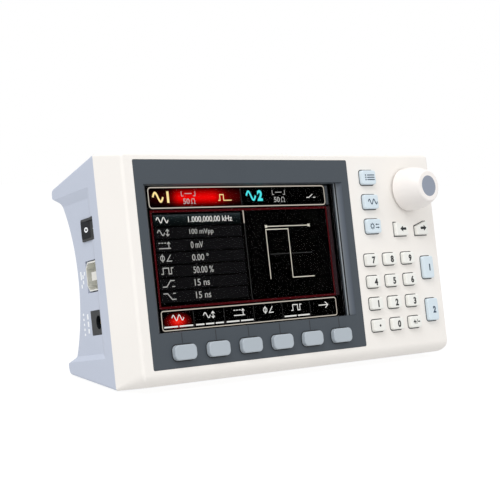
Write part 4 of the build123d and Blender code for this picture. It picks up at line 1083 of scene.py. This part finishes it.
port_marks("data_mark", "usb_data", (
    (7.9, 0.9, ((0.9, 2.3),)), (9.7, 1.1, ((-2.3, -0.9), (-0.2, 1.2))),
    (11.6, 1.2, ((-3.7, -2.3), (-0.6, 2.6))),
))
port_marks("power_mark", "dc_in", (
    (10.7, 1.4, ((-3.6, -1.9), (-1.1, 0.9), (1.7, 3.7))),
    (15.0, 1.2, ((-4.3, -3.4), (-2.4, -1.5), (-0.5, 0.4), (1.4, 2.3), (3.3, 4.2))),
))

# %% [markdown]
# A plain white floor and a white surround, as on a light table. Light Path lets the camera
# and the clear parts see pure white, while the light that falls on the object stays at a
# plain level. The floor keeps a faint soft shadow, so that the instrument stands on it.
# %% Floor and surround
def seen_white(tree, lighting, seen):
    """One strength for the light that falls on things, and another for what is looked at."""
    path = add(tree, "ShaderNodeLightPath").outputs
    direct = add(tree, "ShaderNodeMath", {
        0: path["Is Camera Ray"], 1: path["Is Transmission Ray"],
    }, operation="MAXIMUM")
    level = add(tree, "ShaderNodeMapRange", {
        "Value": direct.outputs[0], "To Min": lighting, "To Max": seen,
    })
    return level.outputs["Result"]


matt_floor, tree = new_material("matt white floor")
matt = add(tree, "ShaderNodeBsdfDiffuse", {"Color": linear("#E6E6E6")})
light = add(tree, "ShaderNodeEmission", {
    "Color": linear("#FFFFFF"), "Strength": seen_white(tree, lighting=0.75, seen=1.12),
})
mixed = add(tree, "ShaderNodeMixShader", {"Fac": 0.78, 1: matt.outputs[0], 2: light.outputs[0]})
add(tree, "ShaderNodeOutputMaterial", {"Surface": mixed.outputs[0]})
floor_mesh = bpy.data.meshes.new("floor")
floor_mesh.from_pydata([(-3, -3, 0), (3, -3, 0), (3, 3, 0), (-3, 3, 0)], [], [(0, 1, 2, 3)])
floor_mesh.materials.append(matt_floor)
floor = bpy.data.objects.new("floor", floor_mesh)
bpy.context.scene.collection.objects.link(floor)

world = bpy.data.worlds.new("white surround")
world.use_nodes = True
world.node_tree.nodes.clear()
sky = add(world.node_tree, "ShaderNodeBackground", {
    "Color": linear("#FFFFFF"), "Strength": seen_white(world.node_tree, lighting=0.8, seen=1.0),
})
add(world.node_tree, "ShaderNodeOutputWorld", {"Surface": sky.outputs[0]})
bpy.context.scene.world = world
print("floor", floor.name, "world", world.name)

# %% [markdown]
# Two large soft lights add a little shape to the even light of the surround. The main one is
# high on the left, where it lifts the side wall and everything that faces up; the other is
# above the panel on the right, and keeps the knob and the keys round.
# %% Lights
def soft_light(name, place, aim, size, power):
    """Square white area light that points at a place."""
    lamp = bpy.data.lights.new(name, "AREA")
    lamp.shape = "SQUARE"
    lamp.size = size
    lamp.energy = power
    holder = bpy.data.objects.new(name, lamp)
    turn = (Vector(aim) - Vector(place)).to_track_quat("-Z", "Y").to_matrix().to_4x4()
    holder.matrix_world = Matrix.Translation(place) @ turn
    bpy.context.scene.collection.objects.link(holder)


AIM = (0.0, 0.0, 0.04)
soft_light("main light", (-0.66, -0.32, 0.95), AIM, 0.7, 6.2)
soft_light("right light", (0.5, -0.6, 0.9), AIM, 0.7, 1.5)
print("lights", len(bpy.data.lights))

# %% [markdown]
# A long lens from the left and a little above the panel: far off, so that the panel's edges
# stay nearly parallel. Aiming it at one point would be simpler, but its place and directions
# were fitted to the corners of the instrument.
# %% Camera
view = bpy.data.cameras.new("camera")
view.lens = 112.6
view.sensor_width = 36.0
view.clip_start = 0.01
camera = bpy.data.objects.new("camera", view)
look = Vector((0.69458, 0.71684, -0.06085)).normalized()
top = Vector((0.03622, 0.04964, 0.99812))
side = look.cross(top).normalized()
turn = Matrix((side, side.cross(look), -look)).transposed().to_4x4()
camera.matrix_world = Matrix.Translation((-0.44599, -0.45682, 0.08636)) @ turn
bpy.context.scene.collection.objects.link(camera)
bpy.context.scene.camera = camera
bpy.context.scene.view_settings.view_transform = "Standard"
print("lens", round(view.lens, 1), "mm")
